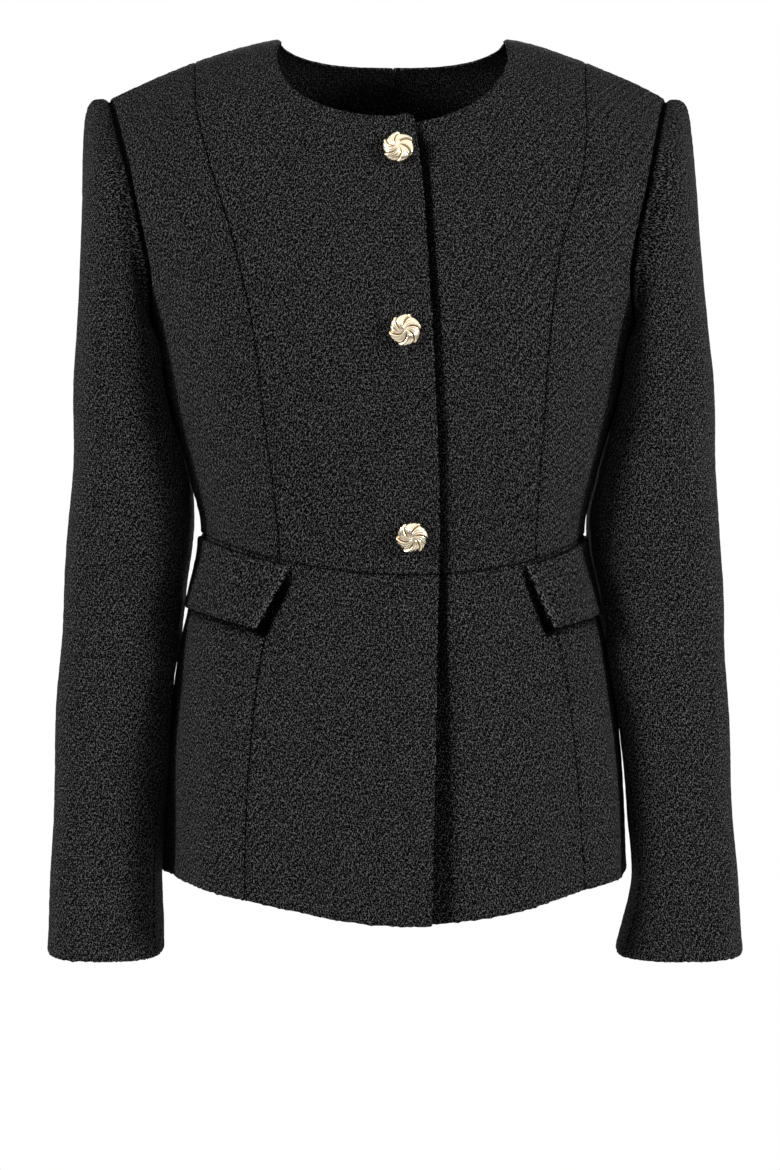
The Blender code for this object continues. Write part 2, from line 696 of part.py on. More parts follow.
def button_frame(height):
    """Point of the right front under a button, and the directions across, up and out there."""
    rings = np.linspace(0, HEM_RING, FINE_STEPS + 1)
    heights = front_form(-1.0, np.zeros_like(rings), rings)[:, 2]
    ring = np.interp(-height, -heights, rings)
    point = front_form(-1.0, np.array(0.0), ring)
    across_step = front_form(-1.0, np.array(-1.0), ring) - front_form(-1.0, np.array(1.0), ring)
    up_step = front_form(-1.0, np.array(0.0), ring - 0.1) - front_form(-1.0, np.array(0.0), ring + 0.1)
    out = unit(np.cross(across_step, up_step))
    sideways = unit(across_step)
    return point, sideways, np.cross(out, sideways), out


def add_button(name, height):
    """A domed button of overlapping petals that swirl round its centre, on a short shank."""
    point, sideways, up, out = button_frame(height)
    turns = np.arange(BUTTON_SIDES) * 360.0 / BUTTON_SIDES
    swirl = turns - BUTTON_TURNS[name]
    plain = np.ones(BUTTON_SIDES)
    edge = BUTTON_RADIUS - SWIRL_RIM_RELIEF * (1 - saw(swirl))
    loops = [(SHANK_RADIUS * plain, SEAM_GAP * plain), (SHANK_RADIUS * plain, BUTTON_LIFT * plain)]
    loops.append((edge, BUTTON_LIFT * plain))
    for share in BUTTON_RINGS:
        relief = SWIRL_RELIEF * share * saw(swirl - SWIRL_TURN * (1 - share))
        dome = BUTTON_RIM + BUTTON_DOME * np.sqrt(1 - share ** 2)
        loops.append((edge * share, BUTTON_LIFT + dome + relief))
    points = []
    for radius, lift in loops:
        flat = radius[:, None] * (np.cos(np.radians(turns))[:, None] * sideways
                                  + np.sin(np.radians(turns))[:, None] * up)
        points.extend(point + flat + lift[:, None] * out)
    bottom, top = len(points), len(points) + 1
    points.append(point + SEAM_GAP * out)
    points.append(point + (BUTTON_LIFT + BUTTON_RIM + BUTTON_DOME) * out)
    faces = []
    for step in range(BUTTON_SIDES):
        after = (step + 1) % BUTTON_SIDES
        for level in range(len(loops) - 1):
            low, high = level * BUTTON_SIDES, (level + 1) * BUTTON_SIDES
            faces.append([low + step, low + after, high + after, high + step])
        last = (len(loops) - 1) * BUTTON_SIDES
        faces.append([bottom, after, step])
        faces.append([top, last + step, last + after])
    add_object(name, points, faces, material(name, GOLD_COLOUR, GOLD_ROUGHNESS, 1.0))


def main():
    for item in list(bpy.data.objects):
        bpy.data.objects.remove(item, do_unlink=True)
    grids = {side_name: body_grids(side_name) for side_name in SIDES}
    both = {(name, side_name): grid for side_name in SIDES for name, grid in grids[side_name].items()}
    normals = shared_normals(both, body_inside)
    for side_name in SIDES:
        own = {name: normals[name, side_name] for name in grids[side_name]}
        add_panels(side_name, grids[side_name], own)
        add_sleeve(side_name, grids[side_name], own)
        add_flap(side_name)
    for name, height in BUTTON_HEIGHTS.items():
        add_button(name, height)


main()
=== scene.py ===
"""Looks of a collarless blazer with a flared peplum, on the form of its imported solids.

Each cloth piece is a thin closed shell in finer steps than its solid, with creases, pressed seams,
turned edges and the nubs of the boucle. Sizes are in millimetres and angles in degrees, in the frame
of the solids: +Z is up, the front faces -Y and the garment's right side lies at -X.
"""

import bpy
import numpy as np
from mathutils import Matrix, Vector


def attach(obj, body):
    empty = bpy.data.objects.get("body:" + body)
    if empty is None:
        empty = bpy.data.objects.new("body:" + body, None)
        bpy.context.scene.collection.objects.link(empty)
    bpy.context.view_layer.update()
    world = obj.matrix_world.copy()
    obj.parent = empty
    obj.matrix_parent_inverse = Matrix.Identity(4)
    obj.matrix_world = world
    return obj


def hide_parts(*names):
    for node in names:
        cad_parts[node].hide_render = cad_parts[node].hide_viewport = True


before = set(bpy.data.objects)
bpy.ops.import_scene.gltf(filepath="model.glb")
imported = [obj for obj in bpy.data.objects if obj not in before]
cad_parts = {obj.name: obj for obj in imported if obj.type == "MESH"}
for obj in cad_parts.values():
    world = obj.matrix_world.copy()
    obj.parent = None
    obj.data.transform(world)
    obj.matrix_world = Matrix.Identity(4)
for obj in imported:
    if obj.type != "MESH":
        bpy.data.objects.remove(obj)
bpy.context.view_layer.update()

# Cloth and seams
MM = 0.001
WALL = 2.0
SEAM_GAP = 0.3

# Lap: the left front sinks and is pressed in under the right one, whose edge rolls out and flares; below
# the waist a painted shadow darkens the left front beside the lap
LAP_SINK = 2.7
LAP_SINK_TOP = 0.6
LAP_FADE = 10.0
LAP_FLARE = 8.0
LAP_FLARE_WIDTH = 16.0
LAP_PRESS = 6.0
LAP_PRESS_WIDTH = 2.7
LAP_PRESS_START = 3.8
LAP_PRESS_RISE = 0.9
LAP_PRESS_WIDEN = 4.0
LAP_PRESS_EASE = 0.5
LAP_ROLL = 1.4
LAP_ROLL_WIDTH = 5.0
LAP_TURN = 0.5
LAP_PAINTED_SHADOW = 0.2
LAP_PAINTED_SHADOW_WIDTH = 8.0

# Step in the neck line, where the lap stands a little higher than the edge under it
NECK_RAISE = 1.2
NECK_DROP = 4.2
NECK_STEP_WIDTH = 22.0
NECK_STEP_RING = 4.0
NECK_STEP_RUN = 1.4

# Neck and shoulders
SHOULDER_TIP = 200.0
SHOULDER_FALL = 42.5
SHOULDER_CURVE = 1.35
SHOULDER_SHIFT = -4.0
NECK_HALF = 82.0
NECK_CENTRE_Z = -12.0
NECK_HEIGHT = 50.0
NECK_POWER = 2.15
NECK_PAST_CENTRE = 97.0
BACK_NECK_DROP = 15.0
BACK_NECK_FALL = 1.3
BACK_NECK_WIDE = 0.8
SQUARE = 0.10

# Sections of the body from the shoulder line to the hem, with the angles of the front seams
RING_COLUMNS = ("z", "half_width", "front", "back", "dip", "turn", "drop", "lap", "seam_right", "seam_left")
RINGS = np.array((
    (0, 200, 0, 0, 0, 0.0, 1.00, 2.0, 41.5, 41.5),
    (-5, 201, 25, 34, 0, 0.0, 1.00, 2.0, 40.9, 40.9),
    (-18, 203, 48, 62, 0, 0.0, 0.95, 2.0, 40.0, 40.0),
    (-38, 205, 71, 79, 0, 0.0, 0.80, 2.0, 39.2, 39.2),
    (-62, 207, 86, 89, 0, 0.5, 0.55, 2.4, 38.0, 38.0),
    (-100, 206, 102, 97, 0, 1.2, 0.25, 3.3, 35.8, 35.8),
    (-150, 195, 117, 101, 0, 1.8, 0.06, 4.0, 33.7, 32.5),
    (-207, 174, 127, 101, 2, 2.4, 0.00, 5.4, 33.8, 33.8),
    (-262, 161, 120, 96, 10, 3.4, 0.00, 6.2, 34.8, 34.8),
    (-310, 147, 108, 90, 20, 4.4, 0.00, 7.0, 36.4, 36.6),
    (-354, 137.5, 100, 85, 27, 5.0, 0.00, 7.3, 37.7, 39.0),
    (-400, 146, 108, 100, 27, 4.3, 0.00, 6.6, 38.6, 43.0),
    (-450, 157, 118, 115, 27, 3.7, 0.00, 6.2, 38.3, 44.2),
    (-520, 165, 128, 129, 26, 3.1, 0.00, 5.8, 37.8, 45.4),
    (-596, 168, 135, 140, 26, 2.7, 0.00, 5.6, 37.5, 47.0),
), float)
WAIST_RING = 10.0
HEM_RING = 14.0
HEM_POINT = 2.0
SIDE_ANGLE = 96.0

# Armhole edge from the underarm to the shoulder tip: angles on the front of each side and on the back
ARMHOLE_COLUMNS = ("ring", "front_right", "front_left", "back")
ARMHOLE = np.array((
    (7.14, 96.0, 96.0, 96.0),
    (6.94, 80.5, 75.0, 105.5),
    (6.54, 68.8, 62.0, 113.0),
    (6.00, 62.6, 56.4, 118.0),
    (5.00, 61.3, 57.2, 119.5),
    (4.00, 63.8, 61.6, 118.0),
    (3.00, 67.2, 66.6, 115.5),
    (2.00, 71.8, 72.0, 111.5),
    (1.00, 78.5, 79.0, 104.5),
    (0.00, 90.0, 90.0, 90.0),
), float)

# Soft folds in the body: angle, width in degrees, depth, and the rings where each starts, peaks and ends
FOLD_COLUMNS = ("angle", "width", "depth", "start", "peak", "end")
FOLDS = np.array((
    (-47, 9, 7, 11.0, 14.0, 20),
    (-24, 8, -5, 10.6, 14.0, 20),
    (27, 9, 5, 10.8, 14.0, 20),
    (60, 10, 6, 11.0, 14.0, 20),
    (-78, 10, -5, 11.2, 14.0, 20),
    (118, 10, 9, 10.4, 14.0, 20),
    (-121, 11, 8, 10.4, 14.0, 20),
    (147, 9, -8, 10.5, 14.0, 20),
    (-150, 10, -9, 10.5, 14.0, 20),
    (168, 8, 7, 10.8, 14.0, 20),
    (-172, 7, 6, 10.9, 14.0, 20),
    (44, 5, 2.5, 4.0, 5.4, 6.8),
    (140, 12, -3, 8.4, 9.3, 10.0),
    (-138, 11, -3, 8.2, 9.2, 10.0),
), float)

# Sleeve sections below the sleeve head: outer and inner reach on each side, half depth, centre
SLEEVE_COLUMNS = ("z", "outer_right", "inner_right", "outer_left", "inner_left", "half_depth", "centre_y")
SLEEVES = np.array((
    (-240, 229, 158, 230, 158, 75, 4),
    (-285, 231, 150, 233, 150, 72, 5),
    (-322, 233, 145, 235, 142, 68, 6),
    (-360, 235, 144.5, 236, 139.5, 62, 5),
    (-400, 237, 147.5, 238, 143.5, 56, 2),
    (-440, 239, 151.5, 239, 148.5, 52, -5),
    (-490, 242, 156, 241, 157, 49, -14),
    (-545, 243, 161, 243, 165, 47, -24),
    (-600, 245, 164.5, 246, 170, 46, -34),
    (-650, 246, 163, 249, 158, 46, -40),
), float)
CUFF_TILT = 3.0
SLEEVE_SQUARE = 0.18

# Sleeves press softly against the body: the room left there, more at the underarm, none below the hem
SLEEVE_CLEAR = 1.3
SLEEVE_CLEAR_TOP = 2.4
SLEEVE_CLEAR_FADE = 45.0
SLEEVE_SOFT = 2.0
SLEEVE_FREE = 10.0
SLEEVE_FREE_RUN = 40.0
FLAP_ROOM = 2.6
FLAP_ROOM_FADE = 0.35
FLAP_ROOM_BELOW = 0.21
REACH_FIRST = 40.0
REACH_LAST = 140.0

# Sleeve head by its place between underarm and tip: rise from the body, and reach of the roll
HEAD_COLUMNS = ("place", "rise", "reach")
HEAD = np.array((
    (0.00, 84, 8),
    (0.25, 75, 12),
    (0.50, 50, 17),
    (0.75, 52, 22),
    (1.00, 58, 27),
), float)
HEAD_HANG = 0.95
HEAD_TAPER = {"right": 11.0, "left": 20.0}

# Broad folds in the sleeves: height, angle round the sleeve, half height, half width, depth
SLEEVE_FOLD_COLUMNS = ("z", "angle", "half_height", "half_width", "depth")
SLEEVE_FOLDS = np.array((
    (-392, -35, 26, 55, -4),
    (-448, -20, 24, 60, 3),
    (-352, 200, 30, 50, 3),
    (-300, 60, 34, 45, -3),
    (-560, 20, 34, 50, -3),
), float)

# Pocket flaps set in the waist seam
FLAP_FRONT_TOP = 34.0
FLAP_FRONT_BOTTOM = 40.5
FLAP_SIDE = 93.0
FLAP_TOP_RING = 10.04
FLAP_BOTTOM_RING = 11.14
FLAP_SIDE_DROP = {"right": 0.0, "left": 0.14}
FLAP_LIFT_TOP = 0.6
FLAP_LIFT_BOTTOM = 7.5
FLAP_LIFT_SIDE = 1.1
FLAP_LIFT_RUN = 0.72
FLAP_LIFT_POWER = 0.55

# Trough in the peplum along the front edge of a flap, its reach in degrees, and the painted shadows there
# and below the flap
FLAP_TROUGH = 4.0
FLAP_TROUGH_OUT = {"right": 3.6, "left": 1.9}
FLAP_TROUGH_IN = 3.0
FLAP_TROUGH_TOP = 0.45
FLAP_TROUGH_END = 0.12
FLAP_TROUGH_PAINTED_SHADOW = 0.45
FLAP_BELOW = 0.1
FLAP_BELOW_PAINTED_SHADOW = 0.4

# Buttons on the centre front
BUTTON_HEIGHTS = {"button_top": -85.5, "button_middle": -211.5, "button_waist": -354.0}
BUTTON_TURNS = {"button_top": 20.0, "button_middle": -1.0, "button_waist": -10.0}
BUTTON_RADIUS = 11.5
BUTTON_DOME = 4.6
BUTTON_RIM = 1.6
BUTTON_LIFT = 1.6
BUTTON_BACK = 0.94
BUTTON_EDGE = 0.3
SHANK_RADIUS = 4.0
SWIRL_PETALS = 6
SWIRL_RELIEF = 1.6
SWIRL_RIM_RELIEF = 0.9
SWIRL_TURN = 70.0
SWIRL_PEAK = 0.8
PETAL_GROOVE = 0.5
PETAL_BORDER = 0.55
PETAL_LINES = (0.34, 0.66)
PETAL_LINE = 0.3
PETAL_LINE_SHARE = 0.5
GROOVE_START = 0.5
BUTTON_SIDES = 216
BUTTON_STEPS = 40
SEAT_TURN = 1.0
SEAT_RINGS = 0.1

# Main creases of the body, each from one place to another and a little past both: troughs are negative
CREASE_PAST = 0.15
CREASE_COLUMNS = ("angle_a", "z_a", "angle_b", "z_b", "half_width", "depth")
BODY_CREASES = np.array((
    (54, -110, 40, -178, 11, -1.3),
    (49, -92, 35, -150, 9, 1.0),
    (-56, -120, -44, -176, 10, -0.9),
    (-60, -200, -48, -246, 10, -0.8),
    (58, -214, 47, -262, 11, -1.0),
    (-70, -300, -52, -330, 7, -0.8),
    (72, -306, 56, -334, 7, -0.9),
    (8, -345, 30, -336, 6, -0.5),
    (-10, -346, -30, -334, 6, -0.5),
    (18, -400, 30, -520, 12, -1.1),
    (-14, -420, -20, -560, 13, -1.0),
    (112, -318, 150, -304, 8, -1.7),
    (-110, -322, -146, -312, 8, -1.6),
    (150, -326, 176, -334, 7, -1.4),
    (-148, -338, -178, -330, 7, -1.5),
    (122, -346, 146, -350, 6, 1.0),
    (128, -140, 138, -240, 13, -1.6),
    (-126, -132, -140, -236, 13, -1.7),
    (160, -60, 174, -96, 10, -0.8),
    (-158, -58, -172, -90, 10, -0.8),
    (134, -420, 139, -580, 12, -1.6),
    (-136, -410, -133, -575, 12, -1.6),
    (92, -390, 96, -500, 10, -1.2),
    (-92, -392, -97, -510, 10, -1.2),
), float)
BODY_MM_PER_DEGREE = 2.6

# Main creases of each sleeve; angle -90 faces the body, 0 the front and 90 outwards
SLEEVE_CREASES = {
    "right": np.array((
        (-70, -452, 10, -462, 6, -1.6),
        (-40, -476, 40, -470, 6, -1.1),
        (-78, -424, -20, -440, 7, -1.5),
        (5, -440, 62, -452, 7, -0.8),
        (-60, -250, 10, -318, 11, -1.5),
        (-20, -236, 45, -300, 12, -1.1),
        (150, -440, 215, -452, 9, 1.6),
        (140, -400, 205, -416, 9, -1.4),
        (-20, -570, 50, -600, 10, -0.9),
        (170, -560, 225, -590, 10, -1.2),
    ), float),
    "left": np.array((
        (-72, -446, 0, -458, 6, -1.5),
        (-30, -470, 48, -474, 6, -1.0),
        (-76, -416, -10, -430, 7, -1.5),
        (10, -448, 70, -440, 7, -0.8),
        (-58, -246, 16, -322, 11, -1.5),
        (-12, -232, 50, -290, 12, -1.1),
        (148, -446, 212, -456, 9, 1.6),
        (138, -404, 208, -422, 9, -1.4),
        (-10, -580, 55, -602, 10, -0.9),
        (165, -556, 222, -584, 10, -1.2),
    ), float),
}
SLEEVE_MM_PER_DEGREE = 0.8

# Slow waves all over the cloth: their number, shortest and longest length, and height
WAVE_COUNT = 14
WAVE_SHORTEST = 34.0
WAVE_LONGEST = 120.0
WAVE_HEIGHT = 0.42
WAVE_SEED = 7

# Pressed seams, the deeper armhole seam and turned free edges, by the distance from the edge, with painted
# shading: painted shade darkens the cloth along the seams, and the negative value on the folded flap edge
# is a painted highlight
EDGE_COLUMNS = ("depth", "width", "ridge", "ridge_place", "ridge_width", "painted_shading", "painted_shading_width")
EDGES = {
    "seam": (0.8, 0.8, 0.20, 4.5, 3.0, 0.12, 1.0),
    "centre": (0.8, 0.8, 0.20, 4.5, 3.0, 0.12, 1.0),
    "waist": (0.8, 0.8, 0.20, 4.5, 3.0, 0.20, 1.0),
    "flap_seam": (0.8, 0.8, 0.20, 4.5, 3.0, 0.35, 1.2),
    "armhole": (2.0, 1.4, 0.0, 5.0, 3.0, 0.45, 1.1),
    "edge": (0.7, 1.0, 0.20, 4.0, 3.0, 0.0, 1.0),
    "fold": (0.7, 1.0, 0.25, 3.0, 2.0, -0.28, 2.4),
}
FREE_EDGES = ("edge", "fold")
PUCKER_HEIGHT = 0.16
PUCKER_LENGTH = 9.0
PUCKER_REACH = 6.0

# Nubs of the boucle, the rough free edges, and how far the rims stand out
NUB_HEIGHT = 0.09
NUB_LIMIT = 2.2
NUB_OWN = 0.6
NUB_DRAWN = 0.5
EDGE_ROUGHNESS = 0.28
SEAM_BULGE = 0.1
CENTRE_BULGE = 0.147
RIM_BULGES = {"edge": 0.35, "fold": 0.35, "centre": CENTRE_BULGE}
NUB_SEED = 40

# Rows and columns: the solid's own, finer ones for each of them, and lines close to the borders
BODY_ROWS = 20
NECK_CORNER_ROW = 13
UNDERARM_ROW = 9
BACK_NECK_ROW = 15
FRONT_COLUMNS = 7
SIDE_COLUMNS = 7
TOP_SPREAD = 6
ROW_DETAIL = 8
COLUMN_DETAIL = 8
PEPLUM_ROWS = 108
SLEEVE_HEAD_ROWS = 62
SLEEVE_HEAD_EASE = 1.2
SLEEVE_ROWS = 172
FLAP_ROWS = 24
FLAP_COLUMNS = 48
UNDER_SLEEVE_FRONT = 2
UNDER_SLEEVE_BACK = 5
BORDER_LINES = np.array((0.15, 0.35, 0.7))
INNER_STEP = 4

# Where each border lies in a grid, and what it is on each piece; one that changes names its row
BORDER_PLACES = {"low_row": (0, slice(None)), "high_row": (-1, slice(None)),
                 "low_column": (slice(None), 0), "high_column": (slice(None), -1)}
PIECE_EDGES = {
    "front": ("waist", "seam", "edge", "seam"),
    "side_front": ("waist", "seam", "seam", ("seam", UNDERARM_ROW, "armhole")),
    "back": ("waist", "seam", ("seam", UNDERARM_ROW, "armhole"), ("centre", BACK_NECK_ROW, "edge")),
    "peplum_front": ("edge", "waist", "edge", "seam"),
    "peplum_side": ("edge", "waist", "seam", "seam"),
    "peplum_back": ("edge", "waist", "seam", "seam"),
    "flap": ("flap_seam", "edge", "fold", "edge"),
    "upper_sleeve": ("armhole", "edge", "seam", "seam"),
    "under_sleeve": ("armhole", "edge", "seam", "seam"),
}

# Angles, middles and steps by which the run of the cloth is measured, and how far apart the weaves start
WEAVE_FIRST = -20.0
WEAVE_LAST = 185.0
WEAVE_MIDDLES = {"front": WEAVE_FIRST, "side_front": 65.0, "back": 145.0}
WEAVE_STEPS = 200
WEAVE_APART = 1370.0

# Fine steps along curves that are measured, and a place inside the body as shares and a drop
FINE_STEPS = 2400
TINY = 1e-12
INSIDE_SHARES = (0.6, 0.0, 1.0)
INSIDE_DROP = (0.0, 0.0, 60.0)
SIDES = {"right": -1.0, "left": 1.0}

# Boucle by scales in metres: pits with weights, curls and fibres with detail, the weave's run and stretch
PITS = ((1080.0, 0.55), (560.0, 0.12))
PIT_RANDOMNESS = 0.8
PIT_REACH = (0.14, 0.58)
CURLS = (1200.0, 0.0)
CURL_REACH = 0.0005
FIBRES = (2000.0, 1.0)
FIBRE_WEIGHT = 0.6
WEAVE_RUN = 1800.0
WEAVE_WEIGHT = 0.03
BODY_WEAVE = ((0.7, -0.7, 0.0), 0.62)
FLAP_WEAVE = ((1.0, -0.15, 0.0), 0.45)
# How far the painted shading of the marks darkens the cloth's tone, or lightens it where negative
PAINTED_SHADING_WEIGHT = 0.45
CLOTH_TONES = ((0.56, (0.0001, 0.0001, 0.0001, 1)), (0.72, (0.0008, 0.0008, 0.0008, 1)),
               (0.83, (0.0105, 0.0101, 0.0104, 1)), (0.97, (0.122, 0.118, 0.120, 1)))
BUMP = {"Strength": 0.5, "Distance": 0.0006}
CLOTH_SHADER = {"Roughness": 0.85, "Specular IOR Level": 0.02, "Sheen Weight": 0.02,
                "Sheen Roughness": 0.45, "Sheen Tint": (0.85, 0.85, 0.9, 1)}

# Gold: its tones and roughness by its wear, and its tone in the grooves
GOLD_WEAR = {"Scale": 900.0, "Detail": 3.0}
GOLD_TONES = ((0.35, (0.89, 0.74, 0.49, 1)), (0.65, (0.99, 0.90, 0.72, 1)))
GOLD_GROOVE = (0.20, 0.09, 0.02, 1)
GOLD_ROUGHNESS = 0.10
GOLD_WORN = 0.14

# Camera, lights, surround and floor, in metres
CAMERA_PLACE = (-0.0022, -3.0, -0.294)
CAMERA_AIM = (-0.0022, 0.0, -0.3912)
CAMERA_LENS = 128.2
FLOOR_HEIGHT = -1.5
FLOOR_RADIUS = 3.4
FLOOR_SIDES = 96
FLOOR_SHADER = {"Base Color": (0.9, 0.9, 0.9, 1), "Roughness": 0.9}
LIGHTS = {
    "left_light": {"place": (-2.20, -1.43, 0.55), "size": 0.6, "power": 52.0},
    "right_light": {"place": (2.30, -1.26, 0.40), "size": 0.6, "power": 54.0},
    "back_light": {"place": (0.0, 2.8, 0.5), "size": 1.8, "power": 70.0},
}
LIGHT_AIM = (0.0, 0.0, -0.33)
SURROUND_SEEN = 1.0
SURROUND_MIRRORED = 1.35
SURROUND_LIGHT = 0.05
SURROUND_EDGE = 0.35


def column(table, columns, name):
    """One named column of a table."""
    return table[:, columns.index(name)]


def rows_of(table, columns):
    """The rows of a table, each by the names of its columns."""
    return [dict(zip(columns, row)) for row in table]


def cubic(values, slopes, place):
    """Smooth curve through evenly spaced values with given slopes."""
    place = np.asarray(place, float)
    index = np.clip(np.floor(place), 0, len(values) - 2).astype(int)
    part = place - index
    start, end = values[index], values[index + 1]
    square, cube = part ** 2, part ** 3
    return (start * (2 * cube - 3 * square + 1) + slopes[index] * (cube - 2 * square + part)
            + end * (3 * square - 2 * cube) + slopes[index + 1] * (cube - square))


def curve_through(values, place):
    """Smooth curve through evenly spaced values."""
    return cubic(values, np.gradient(values), place)


def ring_value(name, ring):
    """A section size at any place between the rings; the two depths leave the shoulder line level."""
    values = column(RINGS, RING_COLUMNS, name)
    slopes = np.gradient(values)
    slopes[0] = values[1] if name in ("front", "back") else 0.0
    return cubic(values, slopes, ring)


def smooth(value):
    """Soft step from 0 to 1."""
    value = np.clip(value, 0.0, 1.0)
    return value * value * (3 - 2 * value)


def fade(value):
    """Soft step from 1 to 0."""
    return 1 - smooth(value)


def hump(away):
    """Soft hump of height 1 that is nearly flat two steps away."""
    return np.exp(-away ** 2)


def mix(start, end, share):
    """A value between two others."""
    return start * (1 - share) + end * share


def unit(vectors):
    """Vectors of length one."""
    return vectors / np.maximum(np.linalg.norm(vectors, axis=-1, keepdims=True), TINY)


def run_along(points, axis):
    """Run of each point from the first one along a direction of its grid."""
    steps = np.diff(points, axis=axis, prepend=np.take(points, [0], axis))
    return np.cumsum(np.linalg.norm(steps, axis=-1), axis=axis)


def cosine_sine(angle):
    """Cosine and sine of an angle in degrees."""
    return np.cos(np.radians(angle)), np.sin(np.radians(angle))


def across(angle):
    """Sideways reach of a section at an angle from its front, as a share of its half width."""
    cosine, sine = cosine_sine(angle)
    return sine * (1 + SQUARE * cosine ** 2)


def angle_across(share):
    """Angle from the front at a sideways share."""
    angles = np.linspace(-90, 90, 4 * FINE_STEPS + 1)
    return np.interp(share, across(angles), angles)


def angle_between(angle, place):
    """Turn from a place to an angle, the short way round."""
    return (angle - place + 180) % 360 - 180


def crease_depth(table, angle, z, scale):
    """How far soft creases between two places move the cloth outwards, fading at both ends."""
    total = np.zeros(np.broadcast(angle, z).shape)
    for crease in rows_of(table, CREASE_COLUMNS):
        turn = angle_between(crease["angle_b"], crease["angle_a"])
        run = np.array((turn * scale, crease["z_b"] - crease["z_a"]))
        length = np.linalg.norm(run)
        along, beside = run / length, np.array((-run[1], run[0])) / length
        step_u = angle_between(angle, crease["angle_a"]) * scale
        step_v = z - crease["z_a"]
        share = (step_u * along[0] + step_v * along[1]) / length
        away = (step_u * beside[0] + step_v * beside[1]) / crease["half_width"]
        taper = np.sin(np.pi * np.clip((share + CREASE_PAST) / (1 + 2 * CREASE_PAST), 0, 1)) ** 2
        total += crease["depth"] * taper * hump(away)
    return total


def fold_depth(angle, ring):
    """How far the folds and creases move the body's cloth outwards."""
    total = crease_depth(BODY_CREASES, angle, ring_value("z", ring), BODY_MM_PER_DEGREE)
    for fold in rows_of(FOLDS, FOLD_COLUMNS):
        away = angle_between(angle, fold["angle"])
        rise = smooth((ring - fold["start"]) / (fold["peak"] - fold["start"]))
        fall = fade((ring - fold["peak"]) / (fold["end"] - fold["peak"]))
        total += fold["depth"] * rise * fall * hump(away / fold["width"])
    return total


def below_waist(ring):
    """Share of the way from the waist seam to the hem."""
    return np.clip((ring - WAIST_RING) / (HEM_RING - WAIST_RING), 0, 1)


def body_form(angle, ring):
    """Point of the worn form at an angle from the centre front and a place between the rings."""
    angle, ring = np.broadcast_arrays(np.asarray(angle, float), np.asarray(ring, float))
    cosine, sine = cosine_sine(angle + ring_value("turn", ring))
    half = ring_value("half_width", ring)
    depth = np.where(cosine > 0, ring_value("front", ring), ring_value("back", ring))
    fold = fold_depth(angle, ring)
    x = half * sine * (1 + SQUARE * cosine ** 2) + fold * sine
    y = -depth * cosine * (1 + SQUARE * sine ** 2) - fold * cosine
    slope = np.clip((np.abs(x) - NECK_HALF) / (SHOULDER_TIP - NECK_HALF), 0, None) ** SHOULDER_CURVE
    point = 2 + HEM_POINT * below_waist(ring)
    x = x + SHOULDER_SHIFT * ring_value("drop", ring) * (x / half) ** 2
    dip = ring_value("dip", ring) * np.clip(np.cos(np.radians(angle)), 0, None) ** point
    z = ring_value("z", ring) - ring_value("drop", ring) * SHOULDER_FALL * slope - dip
    return np.stack((x, y, z), axis=-1)


def lap_shift(side, angle, ring):
    """The left front sinks under the right one, whose edge rolls out and flares below the waist."""
    lap, below = ring_value("lap", ring), below_waist(ring)
    pressed = smooth((ring - LAP_PRESS_START) / LAP_PRESS_RISE)
    if side > 0:
        sink = LAP_SINK * (1 + LAP_SINK_TOP * ring_value("drop", ring))
        press = LAP_PRESS * pressed * (1 - LAP_PRESS_EASE * below)
        width = LAP_PRESS_WIDTH + LAP_PRESS_WIDEN * below
        return sink * fade((angle - lap) / LAP_FADE) + press * fade((angle - lap) / width)
    roll = LAP_ROLL * pressed * fade(below / LAP_TURN) * fade((angle + lap) / LAP_ROLL_WIDTH)
    return -LAP_FLARE * below * fade((angle + lap) / LAP_FLARE_WIDTH) - roll


def painted_lap_shadow(side, angle, ring):
    """Painted shadow on the left front beside the lap, below the waist."""
    beside = fade((angle - ring_value("lap", ring)) / LAP_PAINTED_SHADOW_WIDTH)
    return LAP_PAINTED_SHADOW * (side > 0) * smooth(below_waist(ring) / LAP_TURN) * beside


def panel_form(side, angle, ring):
    """Point of a body panel, with its angle counted towards its own side."""
    points = body_form(side * angle, ring)
    points[..., 1] += lap_shift(side, angle, ring)
    near = fade((angle + ring_value("lap", ring)) / NECK_STEP_WIDTH)
    step = NECK_RAISE if side < 0 else -NECK_DROP
    points[..., 2] += step * near * fade((ring - NECK_STEP_RING) / NECK_STEP_RUN)
    return points


def cell_of(share, count):
    """Cell and place in it at a share of a run that is parted into equal cells."""
    place = np.clip(share, 0, 1) * count
    low = np.minimum(place.astype(int), count - 1)
    return low, place - low


def weave_place(angle, ring, middle):
    """Place on the flat cloth of the upper body: the run round from an angle and up to the shoulder."""
    angles = np.linspace(WEAVE_FIRST, WEAVE_LAST, WEAVE_STEPS + 1)
    points = body_form(angles, np.linspace(0, WAIST_RING, WEAVE_STEPS + 1)[:, None])
    around, up = run_along(points, 1), run_along(points, 0)
    around = around - around[:, np.searchsorted(angles, middle)][:, None]
    cell, part = cell_of((angle - WEAVE_FIRST) / (WEAVE_LAST - WEAVE_FIRST), WEAVE_STEPS)
    level, rise = cell_of(ring / WAIST_RING, WEAVE_STEPS)

    def between(run):
        near = mix(run[level, cell], run[level, cell + 1], part)
        return mix(near, mix(run[level + 1, cell], run[level + 1, cell + 1], part), rise)
    return np.stack((between(around), -between(up), 0 * part), axis=-1)


def flap_front(down):
    """Angle of the front edge of a flap, from its top to its bottom."""
    return FLAP_FRONT_TOP + (FLAP_FRONT_BOTTOM - FLAP_FRONT_TOP) * down


def flap_trough(side_name, angle, ring):
    """How much of the trough along the front edge of the flap is at a place, from 0 to 1."""
    down = (ring - FLAP_TOP_RING) / (FLAP_BOTTOM_RING - FLAP_TOP_RING)
    away = flap_front(np.clip(down, 0, 1)) - angle
    beside = smooth(1 - away / FLAP_TROUGH_OUT[side_name]) * smooth(1 + away / FLAP_TROUGH_IN)
    return beside * smooth(down / FLAP_TROUGH_TOP) * smooth(1 - (down - 1) / FLAP_TROUGH_END)


